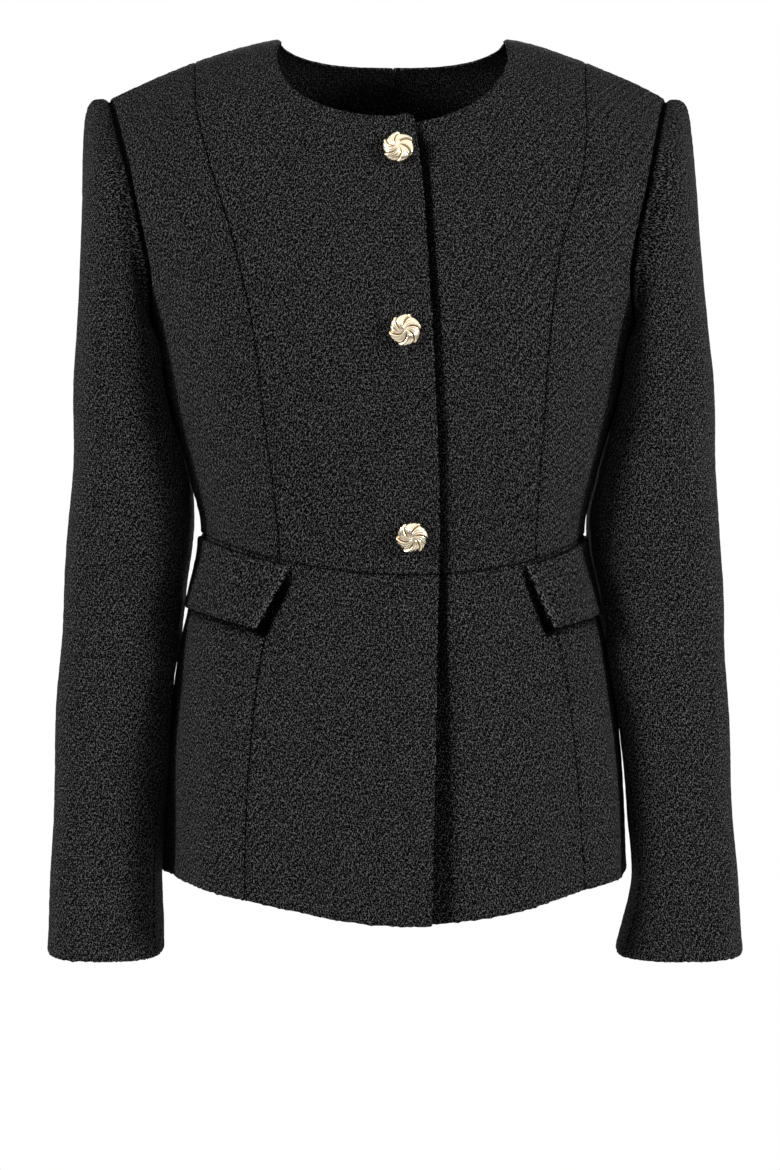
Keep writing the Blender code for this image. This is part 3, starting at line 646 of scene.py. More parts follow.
def painted_shadow_below_flap(side_name, angle, ring):
    """Painted shadow on the peplum along the bottom edge of the flap."""
    across_flap = np.clip((angle - FLAP_FRONT_BOTTOM) / (FLAP_SIDE - FLAP_FRONT_BOTTOM), 0, 1)
    away = ring - FLAP_BOTTOM_RING - FLAP_SIDE_DROP[side_name] * across_flap
    inside = smooth((angle - FLAP_FRONT_BOTTOM) / FLAP_TROUGH_IN + 1) * (angle < FLAP_SIDE)
    return FLAP_BELOW_PAINTED_SHADOW * inside * hump(away / FLAP_BELOW)


def even_steps(points_at, start, end, count):
    """Places along a curve that part it into stretches of equal length."""
    fine = np.linspace(start, end, FINE_STEPS)
    run = run_along(points_at(fine), 0)
    return np.interp(np.linspace(0, run[-1], count + 1), run, fine)


def ring_at_height(height):
    """Place between the rings of a height near the centre of the body."""
    rings = np.linspace(0, HEM_RING, FINE_STEPS + 1)
    return np.interp(-height, -ring_value("z", rings), rings)


def front_neck(turn):
    """Angle and ring of the front neck edge; turn 90 is the centre front."""
    cosine, sine = cosine_sine(turn)
    power = 2 / NECK_POWER
    x = NECK_HALF * np.sign(cosine) * np.abs(cosine) ** power
    height = NECK_CENTRE_Z - NECK_HEIGHT * np.sign(sine) * np.abs(sine) ** power
    ring = ring_at_height(np.minimum(height, 0))
    return angle_across(x / ring_value("half_width", ring)), ring


def neck_start():
    """Turn of the front neck edge where it meets the shoulder seam."""
    return -np.degrees(np.arcsin((-NECK_CENTRE_Z / NECK_HEIGHT) ** (NECK_POWER / 2)))


def back_neck(turn):
    """Angle and ring of the back neck edge; turn 0 is the shoulder seam and 90 the centre back."""
    cosine, sine = cosine_sine(turn)
    start_angle = front_neck(neck_start())[0]
    ring = ring_at_height(-BACK_NECK_DROP * sine ** BACK_NECK_FALL)
    share = across(start_angle) * np.clip(cosine, 0, None) ** BACK_NECK_WIDE
    return 180 - angle_across(share), ring


def armhole(place, face):
    """Angle and ring of the armhole edge; place 0 is the underarm and the last row the tip."""
    rings = column(ARMHOLE, ARMHOLE_COLUMNS, "ring")
    angles = column(ARMHOLE, ARMHOLE_COLUMNS, face)
    return curve_through(angles, place), curve_through(rings, place)


def path_rows(curves, counts):
    """Angles and rings along joined curves, each split into its own number of equal rows."""
    angles, rings = [], []
    for (curve, start, end), count in zip(curves, counts):
        steps = even_steps(lambda place: body_form(*curve(place)), start, end, count * ROW_DETAIL)
        angle, ring = curve(steps)
        first = 1 if angles else 0
        angles.extend(np.broadcast_to(angle, ring.shape)[first:])
        rings.extend(ring[first:])
    return np.array(angles), np.array(rings)


def lap_edge():
    """Front edge of a front panel from the waist to the neck corner, then the neck edge."""
    corner_angle, corner_ring = front_neck(NECK_PAST_CENTRE)
    slack = corner_angle + ring_value("lap", corner_ring)

    def edge(ring):
        share = smooth((WAIST_RING - ring) / (WAIST_RING - corner_ring))
        return -ring_value("lap", ring) + slack * share, ring
    curves = ((edge, WAIST_RING, corner_ring), (front_neck, NECK_PAST_CENTRE, neck_start()))
    return path_rows(curves, (NECK_CORNER_ROW, BODY_ROWS - NECK_CORNER_ROW))


def princess_seam(side_name):
    """Seam from the waist up the front to the shoulder."""
    def seam(ring):
        return ring_value(f"seam_{side_name}", ring), ring
    return path_rows(((seam, WAIST_RING, 0.0),), (BODY_ROWS,))


def straight_seam(angle):
    """A seam that keeps one angle, as angles and rings by its rings."""
    return lambda ring: (np.full_like(ring, angle), ring)


def side_edge(face):
    """Side seam from the waist to the underarm, then the armhole edge up to the shoulder tip."""
    def hole(place):
        return armhole(place, face)
    curves = ((straight_seam(SIDE_ANGLE), WAIST_RING, ARMHOLE[0, 0]), (hole, 0.0, len(ARMHOLE) - 1.0))
    return path_rows(curves, (UNDERARM_ROW, BODY_ROWS - UNDERARM_ROW))


def centre_back():
    """Centre back seam from the waist to the neck, then the back neck edge."""
    curves = ((straight_seam(180.0), WAIST_RING, back_neck(90.0)[1]), (back_neck, 90.0, 0.0))
    return path_rows(curves, (BACK_NECK_ROW, BODY_ROWS - BACK_NECK_ROW))


def shoulder_angles(columns, start, end):
    """Angles along the shoulder seam at even steps in width, given as shares of the half width."""
    return angle_across(np.linspace(start, end, columns * COLUMN_DETAIL + 1))


def spread(low_edge, high_edge, top_angles):
    """Angles and rings of a panel's grid between its two edges, matched to the shoulder seam at the top."""
    top = (top_angles - top_angles[0]) / (top_angles[-1] - top_angles[0])
    share = (np.linspace(0, 1, len(low_edge[0])) ** TOP_SPREAD)[:, None]
    weights = mix(np.linspace(0, 1, len(top)), top, share)
    angles = mix(low_edge[0][:, None], high_edge[0][:, None], weights)
    return angles, mix(low_edge[1][:, None], high_edge[1][:, None], smooth(weights))


def body_grids(side_name):
    """Outer points of the body panels of one side, and marks: places on the flat cloth, and painted shadows
    beside the lap and the flaps.
    """
    side = SIDES[side_name]
    neck_share = across(front_neck(neck_start())[0])
    seam_share = across(ring_value(f"seam_{side_name}", 0.0))
    front_top = shoulder_angles(FRONT_COLUMNS, neck_share, seam_share)
    side_top = shoulder_angles(SIDE_COLUMNS, seam_share, 1.0)
    back_top = 180 - np.concatenate((side_top[::-1], front_top[-2::-1]))
    princess = princess_seam(side_name)
    places = {
        "front": spread(lap_edge(), princess, front_top),
        "side_front": spread(princess, side_edge(f"front_{side_name}"), side_top),
        "back": spread(side_edge("back"), centre_back(), back_top),
    }
    grids, marks = {}, {}
    for kind, (angles, rings) in places.items():
        grids[kind] = panel_form(side, angles, rings)
        marks[kind] = weave_place(angles, rings, WEAVE_MIDDLES[kind])

    rings = np.linspace(HEM_RING, WAIST_RING, PEPLUM_ROWS + 1)[:, None]
    seams = (-ring_value("lap", rings), ring_value(f"seam_{side_name}", rings), SIDE_ANGLE, 180.0)
    columns = {"peplum_front": FRONT_COLUMNS, "peplum_side": SIDE_COLUMNS,
               "peplum_back": FRONT_COLUMNS + SIDE_COLUMNS}
    for kind, low, high in zip(columns, seams, seams[1:]):
        angles = mix(low, high, np.linspace(0, 1, columns[kind] * COLUMN_DETAIL + 1))
        base, trough = panel_form(side, angles, rings), flap_trough(side_name, angles, rings)
        grids[kind] = base - FLAP_TROUGH * trough[..., None] * grid_normals(base, body_inside(base))
        # Painted shadows beside the flap's front edge, under its bottom edge and beside the lap
        painted_shading = FLAP_TROUGH_PAINTED_SHADOW * trough + painted_shadow_below_flap(side_name, angles, rings)
        marks[kind] = flat_places(base, painted_shading + painted_lap_shadow(side, angles, rings))
    return grids, marks


def body_inside(points):
    """A place well inside the body for each of its points."""
    return points * INSIDE_SHARES - INSIDE_DROP


def grid_normals(grid, inside):
    """Outward normals of a grid of points."""
    normals = unit(np.cross(np.gradient(grid, axis=1), np.gradient(grid, axis=0)))
    outwards = np.sum(normals * (grid - inside))
    return normals if outwards > 0 else -normals


def armhole_loop(grids, normals):
    """Outer points, normals and outward directions along the armhole, from the underarm over the front."""
    start = UNDERARM_ROW * ROW_DETAIL
    loop, loop_normals = (np.concatenate((of["side_front"][start:, -1], of["back"][start + 1:-1, 0][::-1]))
                          for of in (grids, normals))
    reach = range(-ROW_DETAIL, ROW_DETAIL + 1)
    loop_normals = unit(sum(np.roll(loop_normals, step, axis=0) for step in reach))
    along = np.roll(loop, -ROW_DETAIL, axis=0) - np.roll(loop, ROW_DETAIL, axis=0)
    outward = unit(np.cross(along, loop_normals))
    if np.sum(outward * (loop.mean(axis=0) - loop)) < 0:
        outward = -outward
    return loop, loop_normals, outward


def sleeve_fold(side_name, z, angle):
    """How far the folds and creases move the sleeve outwards."""
    total = crease_depth(SLEEVE_CREASES[side_name], angle, z, SLEEVE_MM_PER_DEGREE)
    for fold in rows_of(SLEEVE_FOLDS, SLEEVE_FOLD_COLUMNS):
        away = angle_between(angle, fold["angle"]) / fold["half_width"]
        above = (z - fold["z"]) / fold["half_height"]
        total += fold["depth"] * hump(above) * hump(away)
    return total


def body_reach(side_name, y, z):
    """How far the body reaches sideways at a height for each depth, with room for the pocket flap."""
    angles = np.linspace(REACH_FIRST, REACH_LAST, FINE_STEPS)
    ring = ring_at_height(z)
    edge = body_form(SIDES[side_name] * angles, ring)
    above = smooth((ring - FLAP_TOP_RING) / FLAP_ROOM_FADE + 1)
    bottom = FLAP_BOTTOM_RING + FLAP_SIDE_DROP[side_name] + FLAP_ROOM_BELOW
    room = FLAP_ROOM * above * fade((ring - bottom) / FLAP_ROOM_FADE)
    return np.interp(y, edge[:, 1], np.abs(edge[:, 0])) + room


def sleeve_section(side_name, z, angles):
    """Points of the sleeve at a height, pressed against the body; angle -90 faces it and 0 the front."""
    heights = -column(SLEEVES, SLEEVE_COLUMNS, "z")
    place = np.interp(-z, heights, np.arange(len(heights)))

    def size(name):
        return curve_through(column(SLEEVES, SLEEVE_COLUMNS, name), place)
    outer, inner = size(f"outer_{side_name}"), size(f"inner_{side_name}")
    fold = sleeve_fold(side_name, z, angles)
    cosine, sine = cosine_sine(angles)
    x = (outer + inner) / 2 + ((outer - inner) / 2 + fold) * sine * (1 + SLEEVE_SQUARE * cosine ** 2)
    y = size("centre_y") - (size("half_depth") + fold) * cosine * (1 + SLEEVE_SQUARE * sine ** 2)
    clear = SLEEVE_CLEAR + SLEEVE_CLEAR_TOP * fade((SLEEVES[0, 0] - z) / SLEEVE_CLEAR_FADE)
    free = SLEEVE_FREE * smooth((RINGS[-1, 0] - z) / SLEEVE_FREE_RUN)
    reach = body_reach(side_name, y, z) + clear - free
    x = reach + (x - reach + np.hypot(x - reach, SLEEVE_SOFT)) / 2
    low = np.clip((heights[0] + z) / (heights[0] - heights[-1]), 0, 1)
    dip = CUFF_TILT * low * cosine
    return np.stack(np.broadcast_arrays(SIDES[side_name] * x, y, z - dip), axis=-1)


def sleeve_grid(side_name, loop, normals, outward):
    """Outer points of a whole sleeve, ring by ring from the armhole to the cuff."""
    count = len(loop)
    angles = -90 + 360 * np.arange(count) / count
    place = 1 - np.abs(np.arange(count) - count / 2) / (count / 2)
    places = column(HEAD, HEAD_COLUMNS, "place")
    rise = np.radians(np.interp(place, places, column(HEAD, HEAD_COLUMNS, "rise")))[:, None]
    reach = np.interp(place, places, column(HEAD, HEAD_COLUMNS, "reach"))[:, None]
    start = loop + SEAM_GAP * outward
    leave = reach * (np.cos(rise) * outward + np.sin(rise) * normals)
    top = SLEEVES[0, 0]
    end = sleeve_section(side_name, top, angles)
    over = end.copy()
    over[:, 2] += HEAD_HANG * (start[:, 2] - end[:, 2])
    over[:, 0] -= SIDES[side_name] * HEAD_TAPER[side_name] * np.clip(np.sin(np.radians(angles)), 0, None)
    steps = (np.linspace(0, 1, SLEEVE_HEAD_ROWS + 1) ** SLEEVE_HEAD_EASE)[:, None, None]
    rest = 1 - steps
    bend = (start + leave) * rest + over * steps
    head = start * rest ** 3 + 3 * steps * rest * bend + end * steps ** 3
    heights = np.linspace(top, SLEEVES[-1, 0], SLEEVE_ROWS + 1)[1:]
    lower = [sleeve_section(side_name, z, angles) for z in heights]
    return np.concatenate((head, lower))


def tube_normals(tube):
    """Outward normals of a closed tube of points."""
    around = np.roll(tube, -1, axis=1) - np.roll(tube, 1, axis=1)
    normals = unit(np.cross(around, np.gradient(tube, axis=0)))
    outwards = np.sum(normals * (tube - tube.mean(axis=1, keepdims=True)))
    return normals if outwards > 0 else -normals


def insert_lines(grid, axis):
    """A grid with more lines close to its two borders on one axis."""
    last = grid.shape[axis] - 1
    places = np.concatenate(([0], BORDER_LINES, np.arange(1, last), last - BORDER_LINES[::-1], [last]))
    low = np.minimum(np.floor(places).astype(int), last - 1)
    part = places - low
    part = part[:, None, None] if axis == 0 else part[None, :, None]
    return mix(np.take(grid, low, axis), np.take(grid, low + 1, axis), part)


def border_distances(grid):
    """Distance of every point from each border of its grid, and its run along the other direction."""
    down, over = run_along(grid, 0), run_along(grid, 1)
    return {"low_row": (down, over), "high_row": (down[-1] - down, over),
            "low_column": (over, down), "high_column": (over[:, -1:] - over, down)}


def border_kinds(what, rows):
    """The kinds of edge along a border, each with its share of every row."""
    if isinstance(what, str):
        return {what: np.ones((rows, 1))}
    first, change, second = what
    lower = (np.arange(rows) <= change * ROW_DETAIL + len(BORDER_LINES))[:, None]
    return {first: lower.astype(float), second: 1.0 - lower}


def border_stretches(edges, rows):
    """Each border's place in a grid, with its kinds of edge and their shares of its points."""
    for border, what in edges.items():
        for kind, share in border_kinds(what, rows).items():
            yield BORDER_PLACES[border], kind, share[:, 0] if border.endswith("column") else share[0, 0]


def edge_relief(edges, distances, shape):
    """Puckered seams and turned edges: heights of the cloth and of its inside, and painted shading, darker
    along seams and a painted highlight along the folded edge.
    """
    pressed, inside, raised, painted_shading = (np.zeros(shape) for _ in range(4))
    for border, what in edges.items():
        away, along = distances[border]
        pucker = np.sin(2 * np.pi * along / PUCKER_LENGTH + np.sin(along / PUCKER_LENGTH))
        pucker = PUCKER_HEIGHT * pucker * np.exp(-away / PUCKER_REACH)
        for kind, share in border_kinds(what, shape[0]).items():
            form, sewn = dict(zip(EDGE_COLUMNS, EDGES[kind])), kind not in FREE_EDGES
            press = -form["depth"] * hump(away / form["width"]) * share
            pressed = np.minimum(pressed, press)
            inside = np.minimum(inside, press * sewn)
            painted_shading += form["painted_shading"] * hump(away / form["painted_shading_width"]) * share
            ridge = form["ridge"] * hump((away - form["ridge_place"]) / form["ridge_width"])
            raised += share * (ridge + pucker * sewn)
    return pressed + raised, inside, painted_shading


def cloth_waves(points):
    """Slow uneven waves of the cloth by their place in space."""
    draw = np.random.default_rng(WAVE_SEED)
    total = np.zeros(points.shape[:-1])
    for _ in range(WAVE_COUNT):
        length = draw.uniform(WAVE_SHORTEST, WAVE_LONGEST)
        run = unit(draw.normal(size=3)) * 2 * np.pi / length
        total += np.sin(points @ run + draw.uniform(0, 2 * np.pi)) * length / WAVE_LONGEST
    return WAVE_HEIGHT * total / np.sqrt(WAVE_COUNT / 2)


def nub_heights(draw, shape, lean):
    """Uneven heights of the boucle's nubs, drawn out a little along the run of the weave."""
    rough = draw.normal(size=shape)
    drawn = rough + np.roll(rough, (1, lean), (0, 1)) + np.roll(rough, (-1, -lean), (0, 1))
    return NUB_HEIGHT * np.clip(NUB_OWN * rough + NUB_DRAWN * drawn, -NUB_LIMIT, NUB_LIMIT)


def rim_of(place):
    """Indices round the border of a grid."""
    return np.concatenate((place[0, :-1], place[:-1, -1], place[-1, :0:-1], place[:0:-1, 0]))


def border_outwards(grid):
    """Directions out of the cloth's edge, in its surface, for the points on the border."""
    outwards = np.zeros_like(grid)
    outwards[0] += unit(grid[0] - grid[1])
    outwards[-1] += unit(grid[-1] - grid[-2])
    outwards[:, 0] += unit(grid[:, 0] - grid[:, 1])
    outwards[:, -1] += unit(grid[:, -1] - grid[:, -2])
    return outwards


def border_shifts(edges, grid, outwards, draw):
    """In-surface shifts of the border: back by half a gap at seams, and a rough line at free edges."""
    shift = np.zeros(grid.shape[:2])
    rough = EDGE_ROUGHNESS * draw.normal(size=grid.shape[:2])
    for line, kind, share in border_stretches(edges, len(grid)):
        own = rough[line] if kind in FREE_EDGES else -SEAM_GAP / 2 * (kind != "armhole")
        shift[line] = shift[line] + share * own
    return shift[..., None] * outwards


def rim_bulges(edges, shape):
    """How far rims stand past their borders: most at free edges, up to the neighbour at the centre back."""
    bulge = np.full(shape, SEAM_BULGE)
    for line, kind, share in border_stretches(edges, len(bulge)):
        bulge[line] = bulge[line] + share * (RIM_BULGES.get(kind, SEAM_BULGE) - SEAM_BULGE)
    return np.minimum(bulge, max(RIM_BULGES.values()))


def add_shell(name, outer, inner, bulge, normals, marks, finish):
    """A closed thin shell: a fine outer face, a rounded rim and a plainer inner face."""
    rows, columns = outer.shape[:2]
    place = np.arange(rows * columns).reshape(rows, columns)
    steps = [np.unique(np.append(np.arange(0, count, INNER_STEP), count - 1)) for count in (rows, columns)]
    keep = np.ix_(*steps)
    rim = rim_of(place)
    middle = (outer + inner) / 2 + bulge
    coarse = inner[keep]
    points = np.concatenate((outer.reshape(-1, 3), middle.reshape(-1, 3)[rim], coarse.reshape(-1, 3)))
    behind = rows * columns + len(rim)
    inside = behind + np.arange(coarse[..., 0].size).reshape(coarse.shape[:2])

    def quads(grid):
        corners = (grid[:-1, :-1], grid[:-1, 1:], grid[1:, 1:], grid[1:, :-1])
        return np.stack(corners, axis=-1).reshape(-1, 4)
    faces = quads(place).tolist() + quads(inside)[:, ::-1].tolist()
    count = len(rim)
    ring = rows * columns + np.arange(count)
    after = np.roll(np.arange(count), -1)
    faces += np.stack((rim[after], rim, ring, ring[after]), axis=-1).tolist()
    kept = set(place[keep].ravel().tolist())
    stops = [step for step, point in enumerate(rim.tolist()) if point in kept]
    inner_rim = rim_of(inside).tolist()
    for number, start in enumerate(stops):
        end = stops[(number + 1) % len(stops)] or count
        run = [int(ring[step % count]) for step in range(end, start - 1, -1)]
        faces.append(run + [inner_rim[number], inner_rim[(number + 1) % len(stops)]])
    first = np.cross(outer[0, 1] - outer[0, 0], outer[1, 0] - outer[0, 0])
    if np.dot(first, normals[0, 0]) < 0:
        faces = [face[::-1] for face in faces]
    fine_marks = marks.reshape(-1, 3)
    marks = np.concatenate((fine_marks, fine_marks[rim], marks[keep].reshape(-1, 3)))
    return add_mesh(name, points, faces, marks, finish)


def add_mesh(name, points, faces, marks, finish):
    """A smooth piece for the solid of its name; marks are places on the flat cloth, and painted shading on
    cloth or the darker patina in a button's grooves.
    """
    mesh = bpy.data.meshes.new(f"{name}_look")
    mesh.from_pydata((points * MM).tolist(), [], faces)
    mesh.shade_smooth()
    mesh.attributes.new("marks", "FLOAT_VECTOR", "POINT").data.foreach_set("vector", marks.ravel())
    mesh.materials.append(finish)
    piece = bpy.data.objects.new(f"{name}_look", mesh)
    bpy.context.collection.objects.link(piece)
    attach(piece, "root")
    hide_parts(name)
    return piece


def flat_places(grid, painted_shading=0.0, head=0):
    """Places on the flat cloth by the distances along both directions of a grid, with painted shading.

    The rows of a head run round as the row below them does.
    """
    around, along = border_distances(grid)["low_column"]
    around[:head] = around[head]
    row, line = np.array(grid.shape[:2]) // 2
    upwards = np.sign(grid[-1, line, 2] - grid[0, line, 2])
    places = (around - around[:, line:line + 1], upwards * (along - along[row]), painted_shading + 0 * along)
    return np.stack(places, axis=-1)


def add_cloth(kind, side_name, grid, normals, marks, finish, lean):
    """A cloth piece with its relief and weave."""
    name = f"{kind}_{side_name}"
    number = list(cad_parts).index(name)
    marks = marks * (SIDES[side_name], 1, 1) + WEAVE_APART * number * np.array((1, 1, 0))
    for axis in (0, 1):
        grid, normals, marks = (insert_lines(values, axis) for values in (grid, normals, marks))
    normals = unit(normals)
    shape = grid.shape[:2]
    draw = np.random.default_rng(NUB_SEED + number)
    edges = dict(zip(BORDER_PLACES, PIECE_EDGES[kind]))
    outwards = border_outwards(grid)
    waves = cloth_waves(grid)[..., None] * normals
    base = grid + waves + border_shifts(edges, grid, outwards, draw)
    relief, inside, painted_shading = edge_relief(edges, border_distances(grid), shape)
    outer = base + (relief + nub_heights(draw, shape, lean))[..., None] * normals
    inner = base + (inside - WALL)[..., None] * normals
    # painted shading: painted shade along the seams, a painted highlight along the folded edge
    marks[..., 2] += painted_shading
    bulge = rim_bulges(edges, shape)[..., None] * outwards
    piece = add_shell(name, outer, inner, bulge, normals, marks * (MM, MM, 1), finish)


def add_panels(side_name, grids, normals, marks, finish):
    """The body panels of one side."""
    lean = int(SIDES[side_name])
    for kind, grid in grids.items():
        add_cloth(kind, side_name, grid, normals[kind], marks[kind], finish, lean)


def add_sleeve(side_name, grids, normals, finish):
    """Upper and under sleeve of one side."""
    loop, loop_normals, outward = armhole_loop(grids, normals)
    tube = sleeve_grid(side_name, loop, loop_normals, outward)
    outwards = tube_normals(tube)
    outwards[0] = loop_normals
    count = tube.shape[1]
    front, back = UNDER_SLEEVE_FRONT * ROW_DETAIL, UNDER_SLEEVE_BACK * ROW_DETAIL
    pieces = {"upper_sleeve": range(front, count - back + 1), "under_sleeve": range(-back, front + 1)}
    lean = -int(SIDES[side_name])
    for kind, columns in pieces.items():
        grid = tube[:, columns]
        marks = flat_places(grid, head=SLEEVE_HEAD_ROWS)
        add_cloth(kind, side_name, grid, outwards[:, columns], marks, finish, lean)


def add_flap(side_name, finish):
    """A pocket flap made from the peplum's points, moved out."""
    side = SIDES[side_name]
    down = np.linspace(0, 1, FLAP_ROWS + 1)[:, None]
    share = np.linspace(0, 1, FLAP_COLUMNS + 1)
    rings = FLAP_TOP_RING + (FLAP_BOTTOM_RING + FLAP_SIDE_DROP[side_name] * share - FLAP_TOP_RING) * down
    base = panel_form(side, mix(flap_front(down), FLAP_SIDE, share), rings)
    normals = grid_normals(base, body_inside(base))
    bottom = FLAP_LIFT_BOTTOM + (FLAP_LIFT_SIDE - FLAP_LIFT_BOTTOM) * smooth(share / FLAP_LIFT_RUN)
    lift = (FLAP_LIFT_TOP + (bottom - FLAP_LIFT_TOP) * down ** FLAP_LIFT_POWER)[..., None]
    grid = base + (lift + WALL) * normals
    add_cloth("flap", side_name, grid, normals, flat_places(grid), finish, 0)


def petal_part(turn):
    """Place across a petal at a turn round the button, from 0 to 1 clockwise."""
    return (-turn * SWIRL_PETALS / 360.0) % 1.0


def saw(part):
    """Wave that rises slowly across a petal and falls fast at its end."""
    return np.where(part < SWIRL_PEAK, part / SWIRL_PEAK, (1 - part) / (1 - SWIRL_PEAK))


def petal_grooves(part, width):
    """Grooves between the petals and finer lines along each of them, for petals of a width."""
    total = hump(np.minimum(part, 1 - part) * width / PETAL_BORDER)
    for place in PETAL_LINES:
        total = total + PETAL_LINE_SHARE * hump((part - place) * width / PETAL_LINE)
    return np.clip(total, 0, 1)


def button_frame(height):
    """Point of the right front under a button, and the directions across, up and out there."""
    def seat(angle, ring):
        return panel_form(SIDES["right"], np.asarray(angle), ring)
    rings = np.linspace(0, HEM_RING, FINE_STEPS + 1)
    ring = np.interp(-height, -seat(np.zeros_like(rings), rings)[:, 2], rings)
    sideways = unit(seat(-SEAT_TURN, ring) - seat(SEAT_TURN, ring))
    out = unit(np.cross(sideways, seat(0.0, ring - SEAT_RINGS) - seat(0.0, ring + SEAT_RINGS)))
    return seat(0.0, ring), sideways, np.cross(out, sideways), out


def add_button(name, height, finish):
    """A domed button of overlapping ridged petals that swirl round its centre, on a short shank."""
    point, sideways, up, out = button_frame(height)
    turns = np.arange(BUTTON_SIDES) * 360.0 / BUTTON_SIDES
    petals = turns - BUTTON_TURNS[name]
    plain = np.ones(BUTTON_SIDES)
    edge = BUTTON_RADIUS - SWIRL_RIM_RELIEF * (1 - saw(petal_part(petals)))
    loops = [(SHANK_RADIUS * plain, 0 * plain), (SHANK_RADIUS * plain, BUTTON_LIFT * plain),
             (edge * BUTTON_BACK, BUTTON_LIFT * plain),
             (edge, (BUTTON_LIFT + BUTTON_EDGE * BUTTON_RIM) * plain)]
    shades = [0 * plain for _ in loops]
    for share in np.linspace(1.0, 0.0, BUTTON_STEPS + 1)[:-1]:
        part = petal_part(petals - SWIRL_TURN * (1 - share))
        grooves = petal_grooves(part, 2 * np.pi * BUTTON_RADIUS * share / SWIRL_PETALS)
        grooves = grooves * smooth(share / GROOVE_START)
        dome = BUTTON_RIM + BUTTON_DOME * np.sqrt(1 - share ** 2)
        relief = SWIRL_RELIEF * share * saw(part) - PETAL_GROOVE * grooves
        loops.append((edge * share, BUTTON_LIFT + dome + relief))
        shades.append(grooves)
    cosine, sine = cosine_sine(turns[:, None])
    points = []
    for radius, lift in loops:
        points.extend(point + radius[:, None] * (cosine * sideways + sine * up) + lift[:, None] * out)
    top = len(points)
    bottom = top + 1
    points += [point + (BUTTON_LIFT + BUTTON_RIM + BUTTON_DOME) * out, point]
    faces = []
    last = (len(loops) - 1) * BUTTON_SIDES
    for step in range(BUTTON_SIDES):
        after = (step + 1) % BUTTON_SIDES
        for level in range(len(loops) - 1):
            low, high = level * BUTTON_SIDES, (level + 1) * BUTTON_SIDES
            faces.append([low + step, low + after, high + after, high + step])
        faces.append([top, last + step, last + after])
        faces.append([bottom, after, step])
    marks = np.zeros((len(points), 3))
    marks[:top, 2] = np.concatenate(shades)
    piece = add_mesh(name, np.array(points), faces, marks, finish)


class Nodes:
    """Short ways to add and join the nodes of one tree."""

    def __init__(self, tree):
        self.tree = tree

    def feed(self, node, inputs):
        """Sets inputs of a node, each to a value or to an output of another node."""
        for key, value in inputs.items():
            if isinstance(value, bpy.types.NodeSocket):
                self.tree.links.new(value, node.inputs[key])
            else:
                node.inputs[key].default_value = value

    def add(self, kind, inputs, **settings):
        """A new node with its settings and inputs, by its outputs."""
        node = self.tree.nodes.new(f"ShaderNode{kind}")
        for key, value in settings.items():
            setattr(node, key, value)
        self.feed(node, inputs)
        return node.outputs

    def math(self, operation, first, second=0.0):
        return self.add("Math", {0: first, 1: second}, operation=operation)[0]

    def marks(self):
        marks = self.add("Attribute", {}, attribute_name="marks")
        return self.add("SeparateXYZ", {"Vector": marks["Vector"]})

    def noise(self, place, scale, detail):
        inputs = {"Vector": place, "Scale": scale, "Detail": detail}
        return self.add("TexNoise", inputs, noise_dimensions="2D")

    def ramp(self, value, stops):
        colour = self.add("ValToRGB", {"Fac": value})["Color"]
        elements = colour.node.color_ramp.elements
        for _ in range(len(stops) - 2):
            elements.new(0.5)
        for element, (place, tone) in zip(elements, stops):
            element.position = place
            element.color = tone
        return colour


def new_finish(name):
    """An empty finish with its nodes and its shader."""
    finish = bpy.data.materials.new(name)
    finish.use_nodes = True
    return finish, Nodes(finish.node_tree), finish.node_tree.nodes["Principled BSDF"]


def boucle(name, run, stretch):
    """Black boucle: small dark pits between curled loops, drawn out upwards, a faint weave, and the painted
    shading of the marks.
    """
    finish, nodes, shader = new_finish(name)
    marks = nodes.marks()
    upwards = nodes.math("MULTIPLY", marks["Y"], stretch)
    flat = nodes.add("CombineXYZ", {"X": marks["X"], "Y": upwards})["Vector"]
    swing = {0: nodes.noise(flat, *CURLS)["Color"], 1: (CURL_REACH, CURL_REACH, 0.0), 2: flat}
    place = nodes.add("VectorMath", swing, operation="MULTIPLY_ADD")["Vector"]
    height = nodes.math("MULTIPLY", nodes.noise(place, *FIBRES)["Fac"], FIBRE_WEIGHT)
    for scale, weight in PITS:
        pits = nodes.add("TexVoronoi", {"Vector": place, "Scale": scale, "Randomness": PIT_RANDOMNESS},
                         voronoi_dimensions="2D", feature="F1")
        reach = {"Value": pits["Distance"], "From Min": PIT_REACH[0], "From Max": PIT_REACH[1]}
        rim = nodes.add("MapRange", reach, interpolation_type="SMOOTHSTEP")["Result"]
        height = nodes.math("ADD", height, nodes.math("MULTIPLY", rim, weight))
    along = nodes.add("VectorMath", {0: place, 1: run}, operation="DOT_PRODUCT")["Value"]
    weave = nodes.math("SINE", nodes.math("MULTIPLY", along, WEAVE_RUN))
    height = nodes.math("ADD", height, nodes.math("MULTIPLY", weave, WEAVE_WEIGHT))
    # Painted shading: painted shadows and seam shade darken the tone, the painted highlight on folded edges
    # lightens it
    height = nodes.math("SUBTRACT", height, nodes.math("MULTIPLY", marks["Z"], PAINTED_SHADING_WEIGHT))
    bump = nodes.add("Bump", {"Height": height, **BUMP})["Normal"]
    nodes.feed(shader, {"Base Color": nodes.ramp(height, CLOTH_TONES), "Normal": bump, **CLOTH_SHADER})
    return finish


def gold():
    """Pale polished gold with a little wear."""
    finish, nodes, shader = new_finish("pale_gold")
    places = nodes.add("TexCoord", {})["Object"]
    wear = nodes.add("TexNoise", {"Vector": places, **GOLD_WEAR})["Fac"]
    tones = {"Factor": nodes.marks()["Z"], 6: nodes.ramp(wear, GOLD_TONES), 7: GOLD_GROOVE}
    rough = nodes.math("ADD", nodes.math("MULTIPLY", wear, GOLD_WORN), GOLD_ROUGHNESS)
    colour = nodes.add("Mix", tones, data_type="RGBA")[2]
    nodes.feed(shader, {"Base Color": colour, "Roughness": rough, "Metallic": 1.0})
    return finish


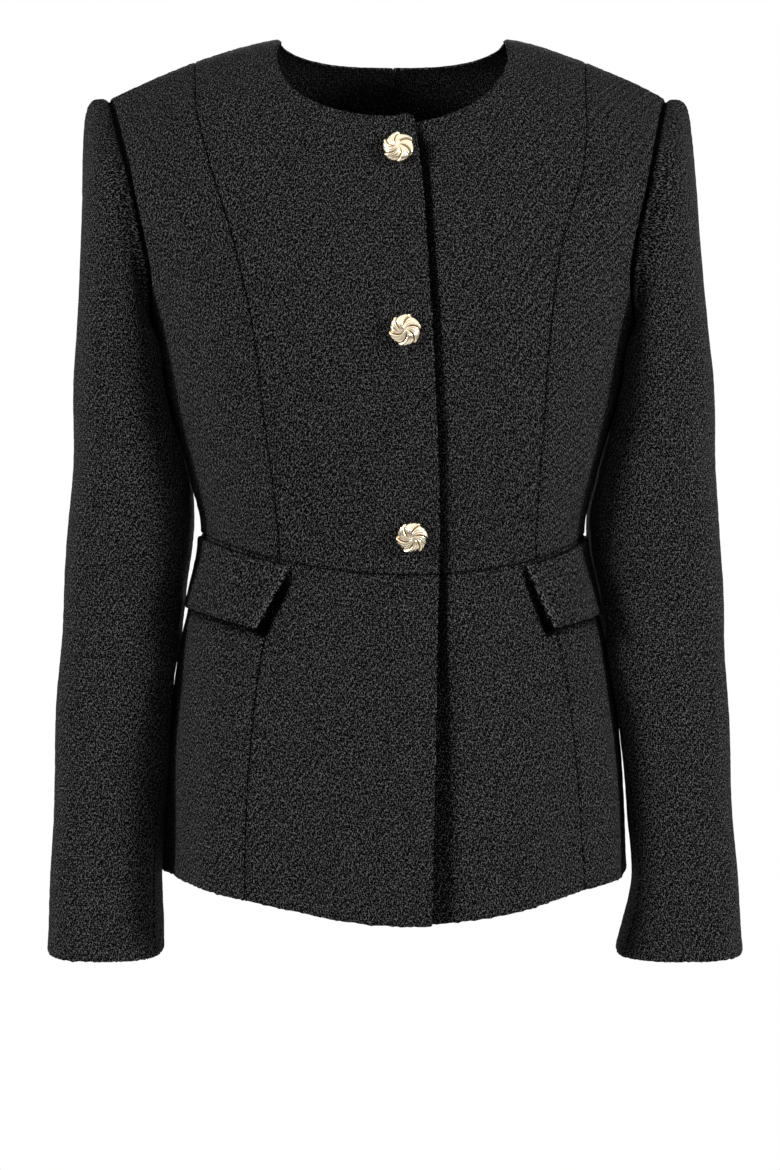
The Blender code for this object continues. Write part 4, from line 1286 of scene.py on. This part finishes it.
def add_floor():
    """A plain pale round floor far below the garment."""
    finish, nodes, shader = new_finish("pale_floor")
    nodes.feed(shader, FLOOR_SHADER)
    bpy.ops.mesh.primitive_circle_add(vertices=FLOOR_SIDES, radius=FLOOR_RADIUS, fill_type="NGON",
                                      location=(0, 0, FLOOR_HEIGHT))
    floor = bpy.context.object
    floor.name = "floor"
    floor.data.materials.append(finish)


def aim(item, place, target):
    """Puts an item at a place and turns it to a target."""
    item.location = place
    item.rotation_euler = (Vector(target) - Vector(place)).to_track_quat("-Z", "Y").to_euler()


def add_lights():
    """Soft lights at both sides and behind, and a white surround."""
    for name, light in LIGHTS.items():
        lamp = bpy.data.lights.new(name, "AREA")
        lamp.shape = "DISK"
        lamp.size = light["size"]
        lamp.energy = light["power"]
        item = bpy.data.objects.new(name, lamp)
        bpy.context.collection.objects.link(item)
        aim(item, light["place"], LIGHT_AIM)
    world = bpy.data.worlds.new("white_surround")
    world.use_nodes = True
    nodes = Nodes(world.node_tree)
    surround = world.node_tree.nodes["Background"]
    ray = nodes.add("LightPath", {})
    seen = nodes.math("MULTIPLY", ray["Is Camera Ray"], SURROUND_SEEN)
    upwards = nodes.add("SeparateXYZ", {"Vector": nodes.add("TexCoord", {})["Generated"]})["Z"]
    rise = nodes.add("MapRange", {"Value": upwards, "From Min": -SURROUND_EDGE, "From Max": SURROUND_EDGE,
                                  "To Min": SURROUND_LIGHT, "To Max": SURROUND_MIRRORED})["Result"]
    mirrored = nodes.math("MULTIPLY", ray["Is Glossy Ray"], rise)
    strength = nodes.math("MAXIMUM", nodes.math("MAXIMUM", seen, mirrored), SURROUND_LIGHT)
    nodes.feed(surround, {"Color": (1, 1, 1, 1), "Strength": strength})
    bpy.context.scene.world = world
    bpy.context.scene.view_settings.view_transform = "Standard"


def add_camera():
    """Camera in front of the garment, about level with its middle and aimed a little lower."""
    lens = bpy.data.cameras.new("camera")
    lens.lens = CAMERA_LENS
    camera = bpy.data.objects.new("camera", lens)
    bpy.context.collection.objects.link(camera)
    aim(camera, CAMERA_PLACE, CAMERA_AIM)
    bpy.context.scene.camera = camera


def main():
    """The whole garment with its stage."""
    cloth = boucle("black_boucle", *BODY_WEAVE)
    flap_cloth = boucle("black_boucle_flap", *FLAP_WEAVE)
    metal = gold()
    for side_name in SIDES:
        grids, marks = body_grids(side_name)
        normals = {kind: grid_normals(grid, body_inside(grid)) for kind, grid in grids.items()}
        add_panels(side_name, grids, normals, marks, cloth)
        add_sleeve(side_name, grids, normals, cloth)
        add_flap(side_name, flap_cloth)
    for name, height in BUTTON_HEIGHTS.items():
        add_button(name, height, metal)
    add_floor()
    add_lights()
    add_camera()


main()
